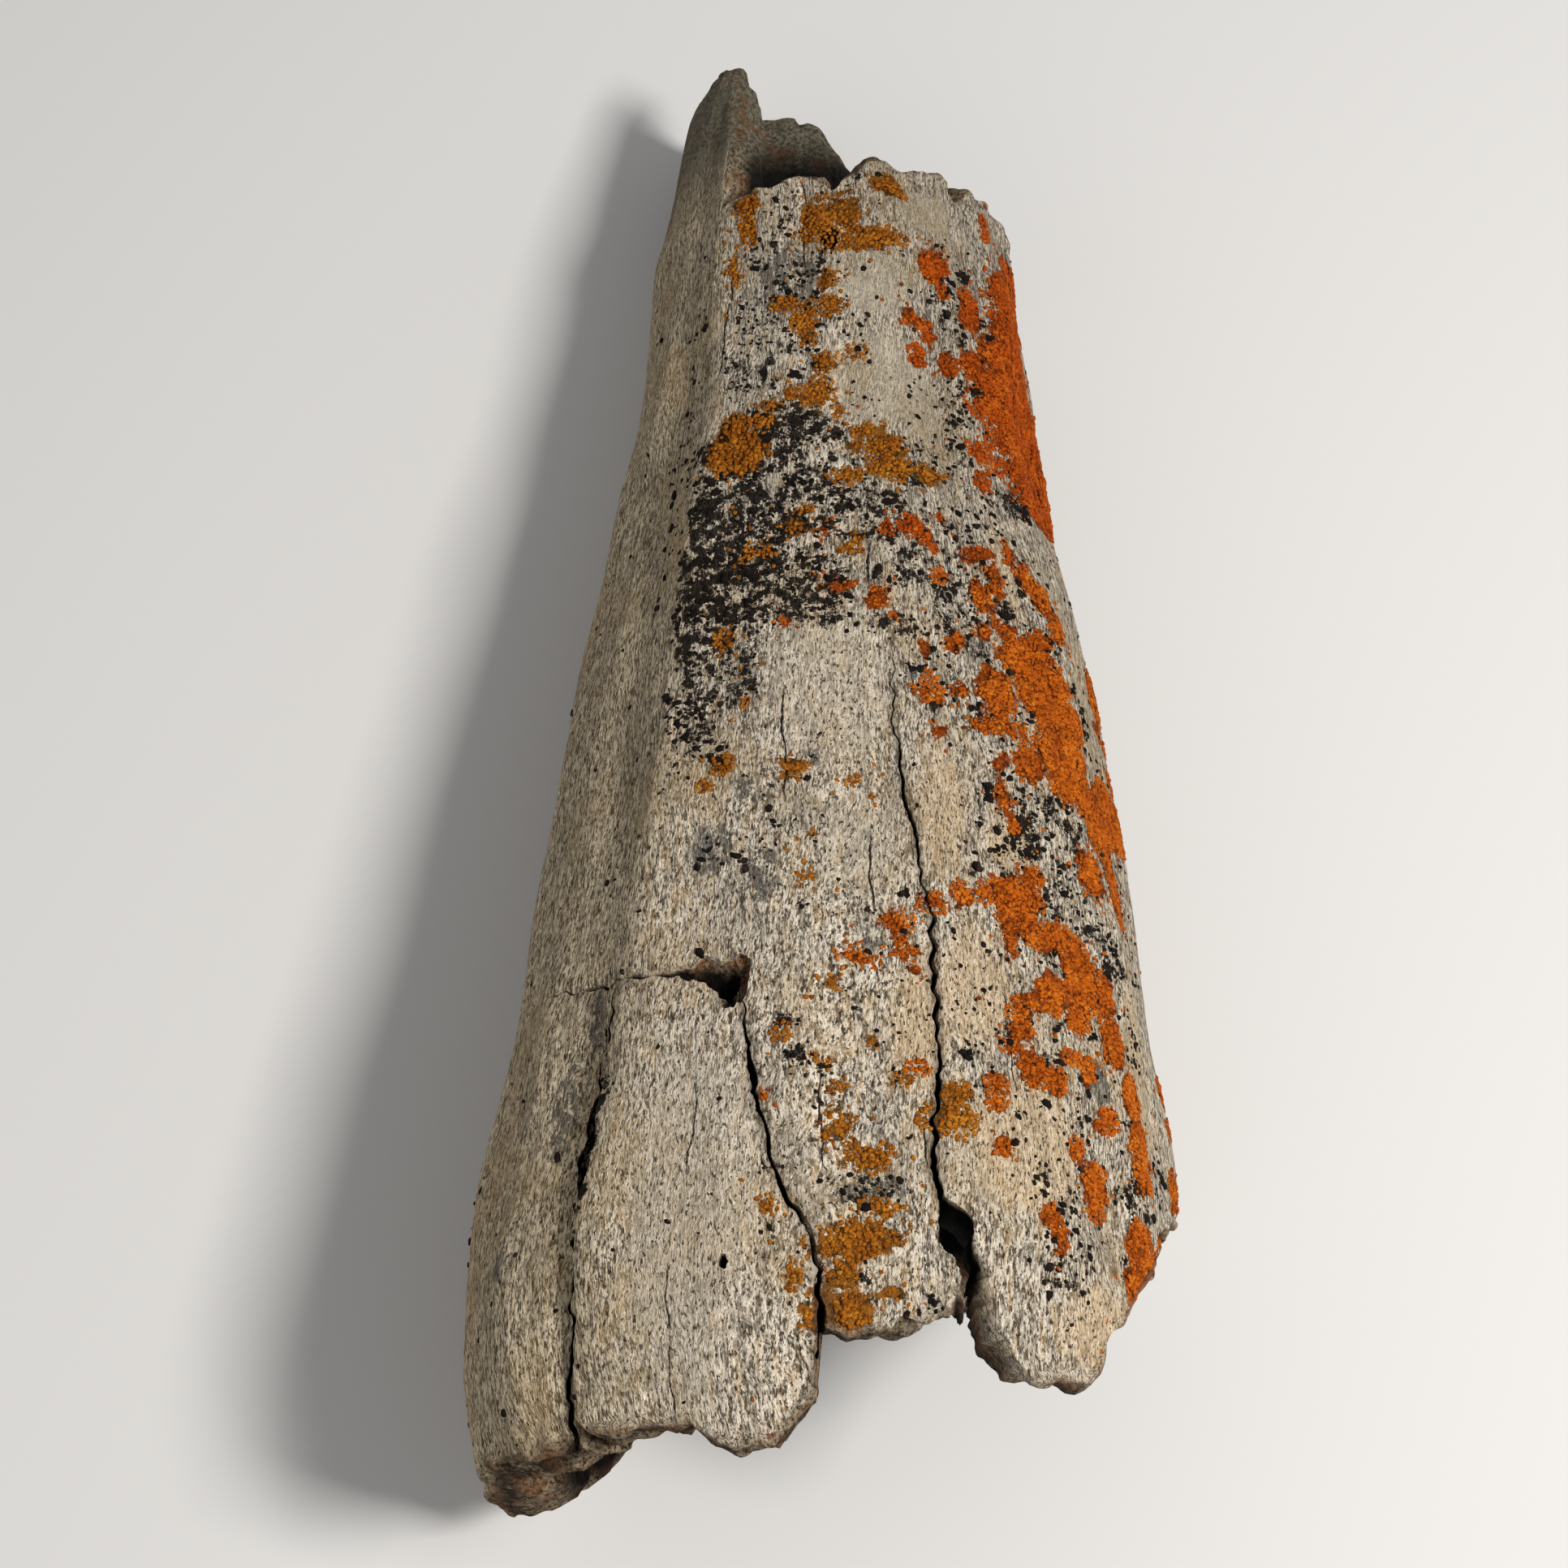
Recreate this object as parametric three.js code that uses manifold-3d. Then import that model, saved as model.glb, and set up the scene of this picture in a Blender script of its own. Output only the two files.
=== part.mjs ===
// A broken length of triceratops brow horn core, lying on its flattest side.
// The bone tapers from a wide hollow base to a narrow tip. Both ends are old breaks: the base is an open
// shell with a ragged rim, and at the tip the left and lower wall runs on past the upper wall as a tongue.
// Long drying cracks run up from the base, and one of them opens into a slot right through the wall.
//
// Millimetres. +Y runs along the horn from base to tip, +Z is up, and z = 0 is the surface it lies on.
// A place on the horn is given as an angle round it, in degrees, and a station y along it:
// 0 is the right-hand side (+X), 90 the top, 180 the left-hand side and 270 the underside.
import * as THREE from "three";
import { ParametricGeometry } from "three/addons/geometries/ParametricGeometry.js";
import { mergeVertices } from "three/addons/utils/BufferGeometryUtils.js";
import Module from "manifold-3d";

const { clamp, degToRad, euclideanModulo, lerp, smoothstep } = THREE.MathUtils;
const wasm = await Module();
wasm.setup();

// Driving dimensions: pairs of station y and the reach of the surface there.
const LEFT_SIDE = [[-125, -41], [-110, -48.3], [-98, -51.2], [-80, -51.6], [-50, -47.3], [-20, -43],
  [15, -38.4], [50, -32], [85, -27.6], [110, -24.5], [134, -19.7], [150, -15]];
const RIGHT_SIDE = [[-125, 52], [-95, 53], [-65, 52.6], [-40, 50.2], [-5, 46.6], [25, 42.6], [48, 37.8],
  [70, 35.8], [106, 32.4], [134, 29], [150, 27]];
const CREST_HEIGHT = [[-125, 80], [-95, 80.5], [-50, 76], [0, 67], [50, 57], [97, 48], [134, 40], [150, 37]];
const WAIST = 0.44;          // height of the widest line, as a share of the crest height
const BELLY_DIP = -3;        // lowest point of the round section, before the flat worn on the underside
const SQUARENESS = 2.35;     // superellipse power of the cross-section: 2 is an ellipse

// The two breaks: pairs of angle and the station y that the broken wall reaches there.
const BASE_RIM = [[0, -71], [12, -73], [20, -77], [27, -82], [32, -86], [37, -90], [42, -94], [46.5, -97.5],
  [50, -101.5], [51.5, -103], [55, -104], [60.5, -104], [64.5, -103], [68, -98], [71.5, -94], [75.5, -95.5],
  [78.6, -98], [81, -98], [85, -97], [88.8, -98.5], [91.3, -97.5], [92.3, -107.5], [95, -110], [98, -114],
  [103.5, -114.5], [107, -111.5], [109.5, -109.5], [113, -111.5], [118, -110.5], [125.5, -110.5],
  [127.7, -107], [129.5, -111.5], [140, -111.5], [155, -111], [180, -110.5], [205, -109.5], [215, -107],
  [225, -101.5], [238, -93], [250, -86], [265, -80], [280, -76], [300, -74], [330, -71]];
const TIP_RIM = [[0, 103], [14, 103.5], [22, 105], [28, 106], [36, 106.5], [43, 106.3], [48, 105],
  [52, 104.3], [56, 106.7], [61, 107.5], [70, 107.7], [75, 107.2], [79, 108.5], [82.5, 109], [85.3, 108.3],
  [90, 105.3], [91.3, 102.7], [94, 105.3], [97.7, 105.8], [107, 104.7], [114.5, 102.5], [118, 102],
  [125.5, 101.5], [128, 114], [130.5, 124], [136, 131.5], [147, 133.5], [160, 134], [175, 134], [190, 133],
  [205, 131], [214, 130], [222, 134.5], [232, 138], [240, 140], [250, 141], [260, 140], [271, 135.5],
  [280, 127], [290, 115], [302, 107], [330, 103]];
// Ragged teeth that both breaks have besides: waves round the rim, phase and height.
const TEETH = [{ round: 19, phase: 0.7, height: 0.5 }, { round: 31, phase: 2.9, height: 0.4 }];

// The hollows: the base is open for almost half of the length, and the tip has a short pocket. The broken
// wall bulges past its edge at the skin, and it leans inwards at the base, except on the left.
const HOLLOW = { side: -1, rim: BASE_RIM, closedEnd: -22, wallAtRim: 13, wallAtEnd: 19, lean: 5, bulge: 2.2 };
const POCKET = { side: 1, rim: TIP_RIM, closedEnd: 84, wallAtRim: 8.5, wallAtEnd: 13, lean: -2, bulge: 1.4 };
const SQUARE_BREAK = { angle: 168, spread: 34 };

// Long swells, hollows and ridges that run along the horn: angle, spread, station, reach and height.
const SWELLS = [
  { angle: 119.5, spread: 6, station: 35, reach: 70, height: 1.5 },
  { angle: 146, spread: 15, station: 35, reach: 75, height: -2.4 },
  { angle: 128.5, spread: 4.5, station: -70, reach: 26, height: -2.4 },
  { angle: 103, spread: 7, station: -95, reach: 30, height: 1 },
  { angle: 148, spread: 12, station: -92, reach: 30, height: 1 },
  { angle: 83, spread: 6, station: -72, reach: 28, height: -1 },
  { angle: 61, spread: 10, station: -80, reach: 28, height: 1.2 },
  { angle: 45, spread: 9, station: 3, reach: 26, height: 1.3 },
  { angle: 66, spread: 7, station: 55, reach: 40, height: -1 },
  { angle: 99, spread: 2.5, station: 98, reach: 16, height: -1.2 },
  { angle: 210, spread: 14, station: 10, reach: 80, height: -2.2 },
  { angle: 330, spread: 14, station: -10, reach: 70, height: -2.2 },
];
// Layers of bone that stand proud or have flaked off: ranges of angle and station, and height.
const LAYERS = [
  { angles: [92, 127.5], stations: [-130, -42.5], height: 1.2 },
  { angles: [40, 73], stations: [-130, -80], height: 0.6 },
  { angles: [121, 168], stations: [103, 160], height: -1.8 },
  { angles: [69, 86], stations: [-33, 14.5], height: -0.9 },
  { angles: [64, 91], stations: [50, 69], height: -0.7 },
];
const LAYER_EDGE = { round: 0.8, along: 1.6 };
// Fluting and lumps: waves round the horn, waves along it (per metre), starting phase and height.
const FLUTES = [
  { round: 9, along: 0.8, phase: 2.1, height: 0.35 },
  { round: 16, along: -1.3, phase: 4.4, height: 0.3 },
  { round: 7, along: 17, phase: 1.2, height: 0.3 },
  { round: -11, along: 26, phase: 0.3, height: 0.25 },
];

// Cracks. Each stop along one has its angle, station, half of its width at the surface, and depth. Below the
// surface, a crack narrows to its root share of that width. One that is plumb cuts straight down.
const CRACKS = {
  centre: { root: 0.35, stops: [[82, 14.5, 0.3, 2], [82, 6, 0.35, 3], [82.3, 0, 0.35, 4], [81.4, -8, 0.45, 4],
    [80.5, -14.5, 0.55, 5], [79.4, -22, 0.4, 4], [78.3, -29, 0.3, 3], [77.2, -35, 0.5, 4],
    [77.2, -45, 0.6, 5], [76.8, -54, 0.5, 6], [77.3, -62, 0.6, 7], [77.6, -70, 0.7, 9],
    [76.9, -76.5, 0.8, 12], [75, -81, 0.8, 16]] },
  slot: { root: 0.9, plumb: true, stops: [[76.2, -77.2, 0.7, 22], [74.8, -79.2, 2.3, 22],
    [74, -82.3, 2.5, 24], [72.9, -86, 1.3, 24], [72.5, -90, 0.8, 24], [72.2, -94, 1.9, 24],
    [70.8, -98, 3.8, 24], [69.5, -103, 6, 24], [69, -112, 8, 24]] },
  stepped: { root: 0.35, stops: [[102.6, -47, 0.4, 5], [101.3, -52.5, 0.45, 6], [100.2, -58, 0.8, 7],
    [99.2, -63.5, 0.6, 7], [97.5, -70, 0.5, 7], [95.8, -76, 0.7, 7], [93.4, -81, 0.8, 8],
    [92.6, -86, 0.7, 9], [92.1, -92, 0.9, 10], [91.9, -98, 1.2, 11], [91.6, -106, 1.6, 11]] },
  left: { root: 0.35, stops: [[126, -43, 0.4, 2.5], [126, -51, 0.6, 3], [126.8, -58, 0.8, 4],
    [128.4, -66, 0.8, 5], [128.2, -74, 0.6, 5], [129, -82, 0.6, 5], [128.8, -89, 0.5, 5],
    [128.2, -96, 0.5, 5], [128.4, -103, 0.7, 6], [127.4, -112, 1.3, 7]] },
  crosswise: { root: 0.35, stops: [[150, -40.3, 0.25, 1.2], [140, -41, 0.3, 1.6], [130, -41.5, 0.35, 2],
    [122, -41.9, 0.4, 2.5], [115, -42.2, 0.7, 4], [111.5, -42.3, 1.6, 5], [108, -42.6, 3.2, 6],
    [105, -43, 5, 5], [102.8, -43.2, 6, 2]] },
};
// Places where the surface has crumbled out: angle, station, reach round, along and into the bone.
const CHIPS = [
  { angle: 82, station: -98.5, round: 3, along: 4, depth: 4.5 },
  { angle: 92.5, station: 92, round: 1.6, along: 2.4, depth: 2.5 },
];

// Rows of faces on each stretch, from the deepest point of the hollow over the outside to the pocket.
const ROWS = { hollow: 6, baseBreak: 3, outside: 34, tipBreak: 2, pocket: 4 };
const WIDEST_COLUMN = 8;     // degrees
const NARROWEST_COLUMN = 1.3;

// A smooth curve through pairs of place and value, with each slope taken from the two neighbours.
function through(stops, at) {
  const last = stops.length - 1;
  const t = clamp(at, stops[0][0], stops[last][0]);
  let k = 0;
  while (k < last - 1 && t >= stops[k + 1][0]) k += 1;
  const slope = (i) => {
    const before = stops[Math.max(i - 1, 0)];
    const after = stops[Math.min(i + 1, last)];
    return (after[1] - before[1]) / (after[0] - before[0]);
  };
  const step = stops[k + 1][0] - stops[k][0];
  const s = (t - stops[k][0]) / step;
  return stops[k][1] * (1 + 2 * s) * (1 - s) ** 2 + slope(k) * step * s * (1 - s) ** 2
    + stops[k + 1][1] * s * s * (3 - 2 * s) + slope(k + 1) * step * s * s * (s - 1);
}

const hump = (distance, spread) => Math.exp(-((distance / spread) ** 2));

const apart = (angle, other) => euclideanModulo(angle - other + 180, 360) - 180;

// 1 within a range and 0 outside it, with soft edges.
const within = (value, [low, high], edge) =>
  smoothstep(value, low - edge, low + edge) * (1 - smoothstep(value, high - edge, high + edge));

// The swells, layers and fluting, as a height above the plain cross-section.
function relief(angle, y) {
  const turn = euclideanModulo(angle, 360);
  let height = 0;
  for (const s of SWELLS) {
    height += s.height * hump(apart(angle, s.angle), s.spread) * hump(y - s.station, s.reach);
  }
  for (const l of LAYERS) {
    height += l.height * within(turn, l.angles, LAYER_EDGE.round) * within(y, l.stations, LAYER_EDGE.along);
  }
  for (const f of FLUTES) {
    height += f.height * Math.sin(f.round * degToRad(angle) + 2 * Math.PI * f.along * (y / 1000) + f.phase);
  }
  return height;
}

function middle(y) {
  const across = (through(LEFT_SIDE, y) + through(RIGHT_SIDE, y)) / 2 + 1;
  return new THREE.Vector3(across, y, WAIST * through(CREST_HEIGHT, y));
}

// The outer surface: a superellipse with its own reach to each side, worn flat at z = 0.
function skin(angle, y) {
  const squared = (value) => Math.sign(value) * Math.abs(value) ** (2 / SQUARENESS);
  const across = squared(Math.cos(degToRad(angle)));
  const upward = squared(Math.sin(degToRad(angle)));
  const point = middle(y);
  const side = across > 0 ? through(RIGHT_SIDE, y) - point.x : point.x - through(LEFT_SIDE, y);
  const rise = upward > 0 ? through(CREST_HEIGHT, y) - point.z : point.z - BELLY_DIP;
  const spoke = new THREE.Vector3(side * across, 0, rise * upward);
  spoke.setLength(spoke.length() + relief(angle, y));
  point.add(spoke);
  point.z = Math.max(point.z, 0);
  return point;
}

function outward(angle, y) {
  const round = skin(angle + 1, y).sub(skin(angle - 1, y));
  const along = skin(angle, y + 1).sub(skin(angle, y - 1));
  return along.cross(round).normalize();
}

// A point in the wall: depth 0 is the skin, and larger depths go towards the middle of the horn.
function inWall(angle, y, depth) {
  const point = skin(angle, y);
  const spoke = middle(y).sub(point);
  return point.addScaledVector(spoke, Math.min(depth / spoke.length(), 0.9));
}

// How far the wall reaches: straight lines between the stops of a rim, closed round the horn, and its teeth.
function rimStation(rim, angle) {
  const turn = euclideanModulo(angle, 360);
  const closed = [...rim, [rim[0][0] + 360, rim[0][1]]];
  let k = 0;
  while (turn >= closed[k + 1][0]) k += 1;
  const share = (turn - closed[k][0]) / (closed[k + 1][0] - closed[k][0]);
  let y = lerp(closed[k][1], closed[k + 1][1], share);
  for (const t of TEETH) y += t.height * Math.sin(t.round * degToRad(angle) + t.phase);
  return y;
}

// The face of a break, from the skin (share 0) over its rounded edge to the hollow (share 1).
function breakFace(angle, share, hollow) {
  const lean = hollow.lean * (1 - hump(apart(angle, SQUARE_BREAK.angle), SQUARE_BREAK.spread)) * share;
  const roundedBack = hollow.bulge * (1 - Math.sqrt(Math.sin(Math.PI * Math.min(share, 1))));
  const y = rimStation(hollow.rim, angle) - hollow.side * (roundedBack + lean);
  return inWall(angle, y, hollow.wallAtRim * share);
}

const skinEnd = (angle, hollow) => breakFace(angle, 0, hollow).y;

// The wall of a hollow, from its rounded closed end (share 0) to the break (share 1).
function hollowWall(angle, share, hollow) {
  const mouth = breakFace(angle, 1, hollow);
  const y = lerp(hollow.closedEnd, mouth.y, share);
  const wall = inWall(angle, y, lerp(hollow.wallAtEnd, hollow.wallAtRim, share));
  const roundness = Math.sqrt(1 - (1 - Math.min(share / 0.35, 1)) ** 2);
  return middle(y).lerp(wall, roundness);
}

// The angles of the columns of faces: one at each stop of both rims, and even steps across the wide gaps.
function columnAngles() {
  const stops = [...BASE_RIM, ...TIP_RIM].map(([angle]) => angle).sort((a, b) => a - b);
  const angles = [stops[0]];
  for (const stop of [...stops, 360]) {
    const gap = stop - angles.at(-1);
    if (gap < NARROWEST_COLUMN) continue;
    const steps = Math.ceil(gap / WIDEST_COLUMN);
    const from = angles.at(-1);
    for (let k = 1; k <= steps; k += 1) angles.push(from + (gap * k) / steps);
  }
  return angles;
}

// The whole surface as one sock: u goes once round, and v from the hollow over the outside to the pocket.
function hornSock() {
  const angles = columnAngles();
  const columns = angles.length - 1;
  const stretches = [
    [ROWS.hollow, (angle, s) => hollowWall(angle, s, HOLLOW)],
    [ROWS.baseBreak, (angle, s) => breakFace(angle, (1 - s) ** 2, HOLLOW)],
    [ROWS.outside, (angle, s) => skin(angle, lerp(skinEnd(angle, HOLLOW), skinEnd(angle, POCKET), s))],
    [ROWS.tipBreak, (angle, s) => breakFace(angle, s ** 2, POCKET)],
    [ROWS.pocket, (angle, s) => hollowWall(angle, 1 - s, POCKET)],
  ];
  const rows = stretches.reduce((sum, [count]) => sum + count, 0);
  const place = (u, v, target) => {
    const angle = angles[Math.round(u * columns)];
    let row = Math.round(v * rows);
    let k = 0;
    while (row > stretches[k][0]) {
      row -= stretches[k][0];
      k += 1;
    }
    target.copy(stretches[k][1](angle, row / stretches[k][0]));
  };
  return solid(new ParametricGeometry(place, columns, rows));
}

// A wedge that follows a crack, from above the skin down to its depth, drawn to a point at both ends.
function crackWedge({ root, plumb, stops }) {
  const lift = 2.5;
  const corners = [[-1, lift, 0], [1, lift, 0], [root, 0, -1], [-root, 0, -1]];
  const last = stops.length - 1;
  const track = (column, at) => through(stops.map((stop, k) => [k, stop[column]]), at);
  const place = (u, v, target) => {
    const at = u * last;
    const [angle, y, halfWidth, depth] = [0, 1, 2, 3].map((column) => track(column, at));
    const onSkin = (stop) => skin(track(0, stop), track(1, stop));
    const upwards = plumb ? new THREE.Vector3(0, 0, 1) : outward(angle, y);
    const sideways = onSkin(at + 0.1).sub(onSkin(at - 0.1)).cross(upwards).normalize();
    const [across, up, down] = corners[Math.round(v * 4) % 4];
    const open = u > 0 && u < 1 ? 1 : 0;
    target.copy(skin(angle, y));
    target.addScaledVector(sideways, across * halfWidth * open);
    target.addScaledVector(upwards, (up + down * depth) * open);
  };
  return solid(new ParametricGeometry(place, last * 2, 4));
}

function chipBlob({ angle, station, round, along, depth }) {
  const blob = new THREE.IcosahedronGeometry(1, 1).scale(round, depth, along);
  const normal = outward(angle, station);
  const lengthwise = new THREE.Vector3(0, 1, 0).addScaledVector(normal, -normal.y).normalize();
  const facing = new THREE.Matrix4().makeBasis(normal.clone().cross(lengthwise), normal, lengthwise);
  return solid(blob.applyMatrix4(facing.setPosition(skin(angle, station))));
}

// A closed geometry as a manifold solid, with its points merged and its faces turned outwards.
function solid(geometry) {
  geometry.deleteAttribute("normal");
  geometry.deleteAttribute("uv");
  const merged = mergeVertices(geometry, 1e-4);
  const points = merged.getAttribute("position");
  const index = merged.getIndex().array;
  const faces = [];
  for (let k = 0; k < index.length; k += 3) {
    const [a, b, c] = index.slice(k, k + 3);
    if (a !== b && b !== c && c !== a) faces.push([a, b, c]);
  }
  const corner = (i) => new THREE.Vector3().fromBufferAttribute(points, i);
  const volume = faces.reduce((sum, [a, b, c]) => sum + corner(a).dot(corner(b).cross(corner(c))), 0);
  const outwardFaces = volume > 0 ? faces : faces.map(([a, b, c]) => [a, c, b]);
  const mesh = new wasm.Mesh({
    numProp: 3,
    vertProperties: Float32Array.from(points.array),
    triVerts: Uint32Array.from(outwardFaces.flat()),
  });
  return new wasm.Manifold(mesh);
}

function geometryOf(manifold) {
  const mesh = manifold.getMesh();
  const geometry = new THREE.BufferGeometry();
  geometry.setAttribute("position", new THREE.BufferAttribute(mesh.vertProperties, 3));
  geometry.setIndex(new THREE.BufferAttribute(mesh.triVerts, 1));
  geometry.computeVertexNormals();
  return geometry;
}

let core = hornSock();
for (const crack of Object.values(CRACKS)) core = core.subtract(crackWedge(crack));
for (const chip of CHIPS) core = core.subtract(chipBlob(chip));

const weatheredBone = new THREE.MeshStandardMaterial({ color: 0xa89a85, roughness: 0.9, metalness: 0 });
const horn = new THREE.Mesh(geometryOf(core), weatheredBone);
horn.name = "horn";

const fossil = new THREE.Group();
fossil.add(horn);
export default fossil;
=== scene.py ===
import bmesh
import bpy
import numpy as np
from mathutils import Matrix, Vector


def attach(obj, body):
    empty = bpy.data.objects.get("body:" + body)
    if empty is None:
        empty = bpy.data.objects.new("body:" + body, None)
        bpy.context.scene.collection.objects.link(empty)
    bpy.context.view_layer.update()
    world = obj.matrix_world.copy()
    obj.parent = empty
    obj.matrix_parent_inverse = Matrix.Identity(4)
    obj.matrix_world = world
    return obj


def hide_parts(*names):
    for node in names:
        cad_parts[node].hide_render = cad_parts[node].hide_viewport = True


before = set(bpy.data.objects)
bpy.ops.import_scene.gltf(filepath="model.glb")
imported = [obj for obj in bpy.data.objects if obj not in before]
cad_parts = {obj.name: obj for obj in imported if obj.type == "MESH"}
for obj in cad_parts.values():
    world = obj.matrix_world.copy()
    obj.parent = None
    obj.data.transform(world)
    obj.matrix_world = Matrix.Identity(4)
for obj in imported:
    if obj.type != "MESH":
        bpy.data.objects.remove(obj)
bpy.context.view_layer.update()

# THE HORN CORE. One piece of weathered fossil bone, hollow at its wide broken base and again, less deeply,
# at its narrow broken tip. It dried and split lengthwise, and its fibres run from the base to the tip.

# A place on it is an angle round it in degrees (0 right, 90 top, 180 left, 270 underside) and a station y
# along it in millimetres. The sides and the crest are stops of station and of place across, or of height.

MM = 0.001

LEFT_SIDE = [
    (-125, -41), (-110, -48.3), (-98, -51.2), (-80, -51.6), (-50, -47.3), (-20, -43), (15, -38.4),
    (50, -32), (85, -27.6), (110, -25.2), (134, -21.4), (150, -17.5),
]
RIGHT_SIDE = [
    (-125, 52), (-95, 53), (-65, 52.6), (-40, 50.2), (-5, 46.6), (25, 42.6), (48, 37.8), (70, 35.8),
    (106, 32.4), (134, 29), (150, 27),
]
CREST_HEIGHT = [
    (-125, 80), (-95, 80.5), (-50, 76), (0, 67), (50, 57), (97, 48), (134, 40), (150, 37),
]
# How far up the section its middle is, the height of the belly, and the power of the superellipse.
WAIST = 0.44
BELLY_DIP = -3
SQUARENESS = 2.35

# The station that the broken wall reaches at each angle, at the base and at the tip.
BASE_RIM = [
    (0, -71), (12, -73), (20, -77), (27, -82), (32, -86), (37, -90), (42, -94), (46.5, -97.5), (50, -101.5),
    (51.5, -103), (55, -104), (60.5, -104), (64.5, -103), (68, -98), (71.5, -94), (75.5, -95.5),
    (78.6, -98), (81, -98), (85, -97), (88.8, -98.5), (91.3, -97.5), (92.3, -107.5), (95, -110), (98, -114),
    (103.5, -114.5), (107, -111.5), (109.5, -109.5), (113, -111.5), (118, -110.5), (127.5, -110.5),
    (129.9, -106.5), (131.7, -111.5), (141, -111.5), (155, -111), (180, -110.5), (205, -109.5), (215, -107),
    (225, -101.5), (238, -93), (250, -86), (265, -80), (280, -76), (300, -74), (330, -71),
]
TIP_RIM = [
    (0, 103), (14, 103.5), (22, 105), (28, 106), (36, 106.5), (43, 106.3), (48, 105), (52, 104.3),
    (56, 106.7), (61, 107.5), (70, 107.7), (75, 107.2), (79, 108.5), (82.5, 109), (85.3, 108.3),
    (90, 105.3), (91.3, 102.7), (94, 105.3), (97.7, 105.8), (107, 104.7), (114.5, 102.5), (118, 102),
    (125.5, 101.5), (128, 115), (130.5, 130), (136, 138), (147, 138.5), (160, 138), (175, 137.5),
    (190, 137.5), (205, 136), (214, 137), (222, 141.5), (232, 145), (240, 145.5), (250, 145), (260, 143),
    (271, 138), (280, 129.5), (290, 118), (302, 107), (330, 103),
]
# Small teeth on both rims: waves round the horn, phase and height.
TEETH = [(19, 0.7, 0.5), (31, 2.9, 0.4)]

# Each hollow: which end, its rim, its closed end, the wall at the rim and at the closed end, and how far the
# break leans and bulges. Round one angle the break is square. A closed end is rounded over a share of it.
HOLLOW = dict(side=-1, rim=BASE_RIM, closed=-22, wall=13, deep_wall=19, lean=5, bulge=2.2)
POCKET = dict(side=1, rim=TIP_RIM, closed=84, wall=8.5, deep_wall=13, lean=-2, bulge=1.4)
SQUARE_BREAK = (168, 34)
ROUNDED_END = 0.35

# Swells: angle, spread, station, reach, height. Layers: angles, stations, height. Flutes: waves round the
# horn, waves along each metre, phase, height.
SWELLS = [
    (119.5, 6, 35, 70, 1.5), (146, 15, 35, 75, -2.4), (131, 3.2, -72, 28, -1.7), (103, 7, -95, 30, 1),
    (148, 12, -92, 30, 1), (83, 6, -72, 28, -1), (61, 10, -80, 28, 1.2), (45, 9, 3, 26, 1.3),
    (66, 7, 55, 40, -1), (99, 2.5, 98, 16, -1.2), (210, 14, 10, 80, -2.2), (330, 14, -10, 70, -2.2),
]
LAYERS = [
    (92, 129.5, -130, -42.5, 1.2), (40, 73, -130, -80, 0.6), (121, 168, 103, 160, -1.8),
    (69, 86, -33, 14.5, -0.9), (64, 91, 50, 69, -0.7),
]
FLUTES = [(9, 0.8, 2.1, 0.35), (16, -1.3, 4.4, 0.3), (7, 17, 1.2, 0.3), (-11, 26, 0.3, 0.25)]

# Cracks: whether it cuts plumb, how far its left and right edges are worn back, and stops of angle, station,
# half width and depth.
CRACKS = {
    "centre": (False, 0.1, 0.1, [
        (82, 14.5, 0.08, 1.5), (82, 6, 0.12, 3), (82.3, 0, 0.14, 4), (81.4, -8, 0.2, 4),
        (80.5, -14.5, 0.26, 5), (79.4, -22, 0.18, 4), (78.3, -29, 0.14, 3), (77.2, -35, 0.26, 4),
        (77.2, -45, 0.36, 5), (76.8, -54, 0.3, 6), (77.3, -62, 0.36, 7), (77.6, -70, 0.45, 9),
        (76.9, -76.5, 0.6, 12), (75, -81, 0.6, 16)]),
    "hole": (True, 0.2, 0.3, [
        (76.3, -76.8, 0.5, 22), (75, -79.4, 2, 22), (74.4, -82.3, 2.3, 24), (73.5, -85.4, 1.3, 24),
        (72.9, -88.6, 0.5, 24), (72.9, -92, 0.6, 24)]),
    "slot": (True, 1.6, 6.0, [
        (72.6, -82.5, 0.3, 6), (72.6, -86, 0.4, 12), (72.9, -89.5, 0.5, 24), (73, -92.5, 0.8, 24),
        (72.5, -96, 2.1, 24), (70.8, -101, 4.0, 24), (69.8, -107, 6, 24), (69, -114, 7.4, 24)]),
    "stepped": (False, 0.06, 0.06, [
        (102.6, -47, 0.2, 5), (101.3, -52.5, 0.3, 6), (100.2, -58, 0.55, 7), (99.2, -63.5, 0.35, 7),
        (97.3, -70, 0.25, 7), (95.2, -76, 0.35, 7), (92.4, -81, 0.4, 8), (91.4, -86, 0.35, 9),
        (90.9, -92, 0.5, 10), (91.0, -98, 0.8, 11), (91.3, -106, 1.3, 11)]),
    "left": (True, 0.05, 0.1, [
        (126, -43, 0.15, 4), (127.3, -51, 0.22, 5), (128.4, -58, 0.4, 6), (128.8, -64, 0.9, 7),
        (129.2, -70, 0.85, 7), (129.9, -77, 0.35, 6), (130.1, -84.5, 0.22, 6), (130, -91.5, 0.22, 6),
        (130.5, -98.5, 0.3, 7), (131.6, -104, 0.5, 8), (131.4, -112, 1.2, 8)]),
    "crosswise": (False, 0.3, 0.3, [
        (150, -40.3, 0.25, 1.2), (140, -41, 0.3, 1.6), (130, -41.5, 0.35, 2), (122, -41.9, 0.4, 2.5),
        (115, -42.2, 0.7, 4), (111.5, -42.3, 1.6, 5), (108, -42.6, 2.8, 7), (105, -43, 4.4, 6),
        (102.8, -43.2, 4.6, 2)]),
}
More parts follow.
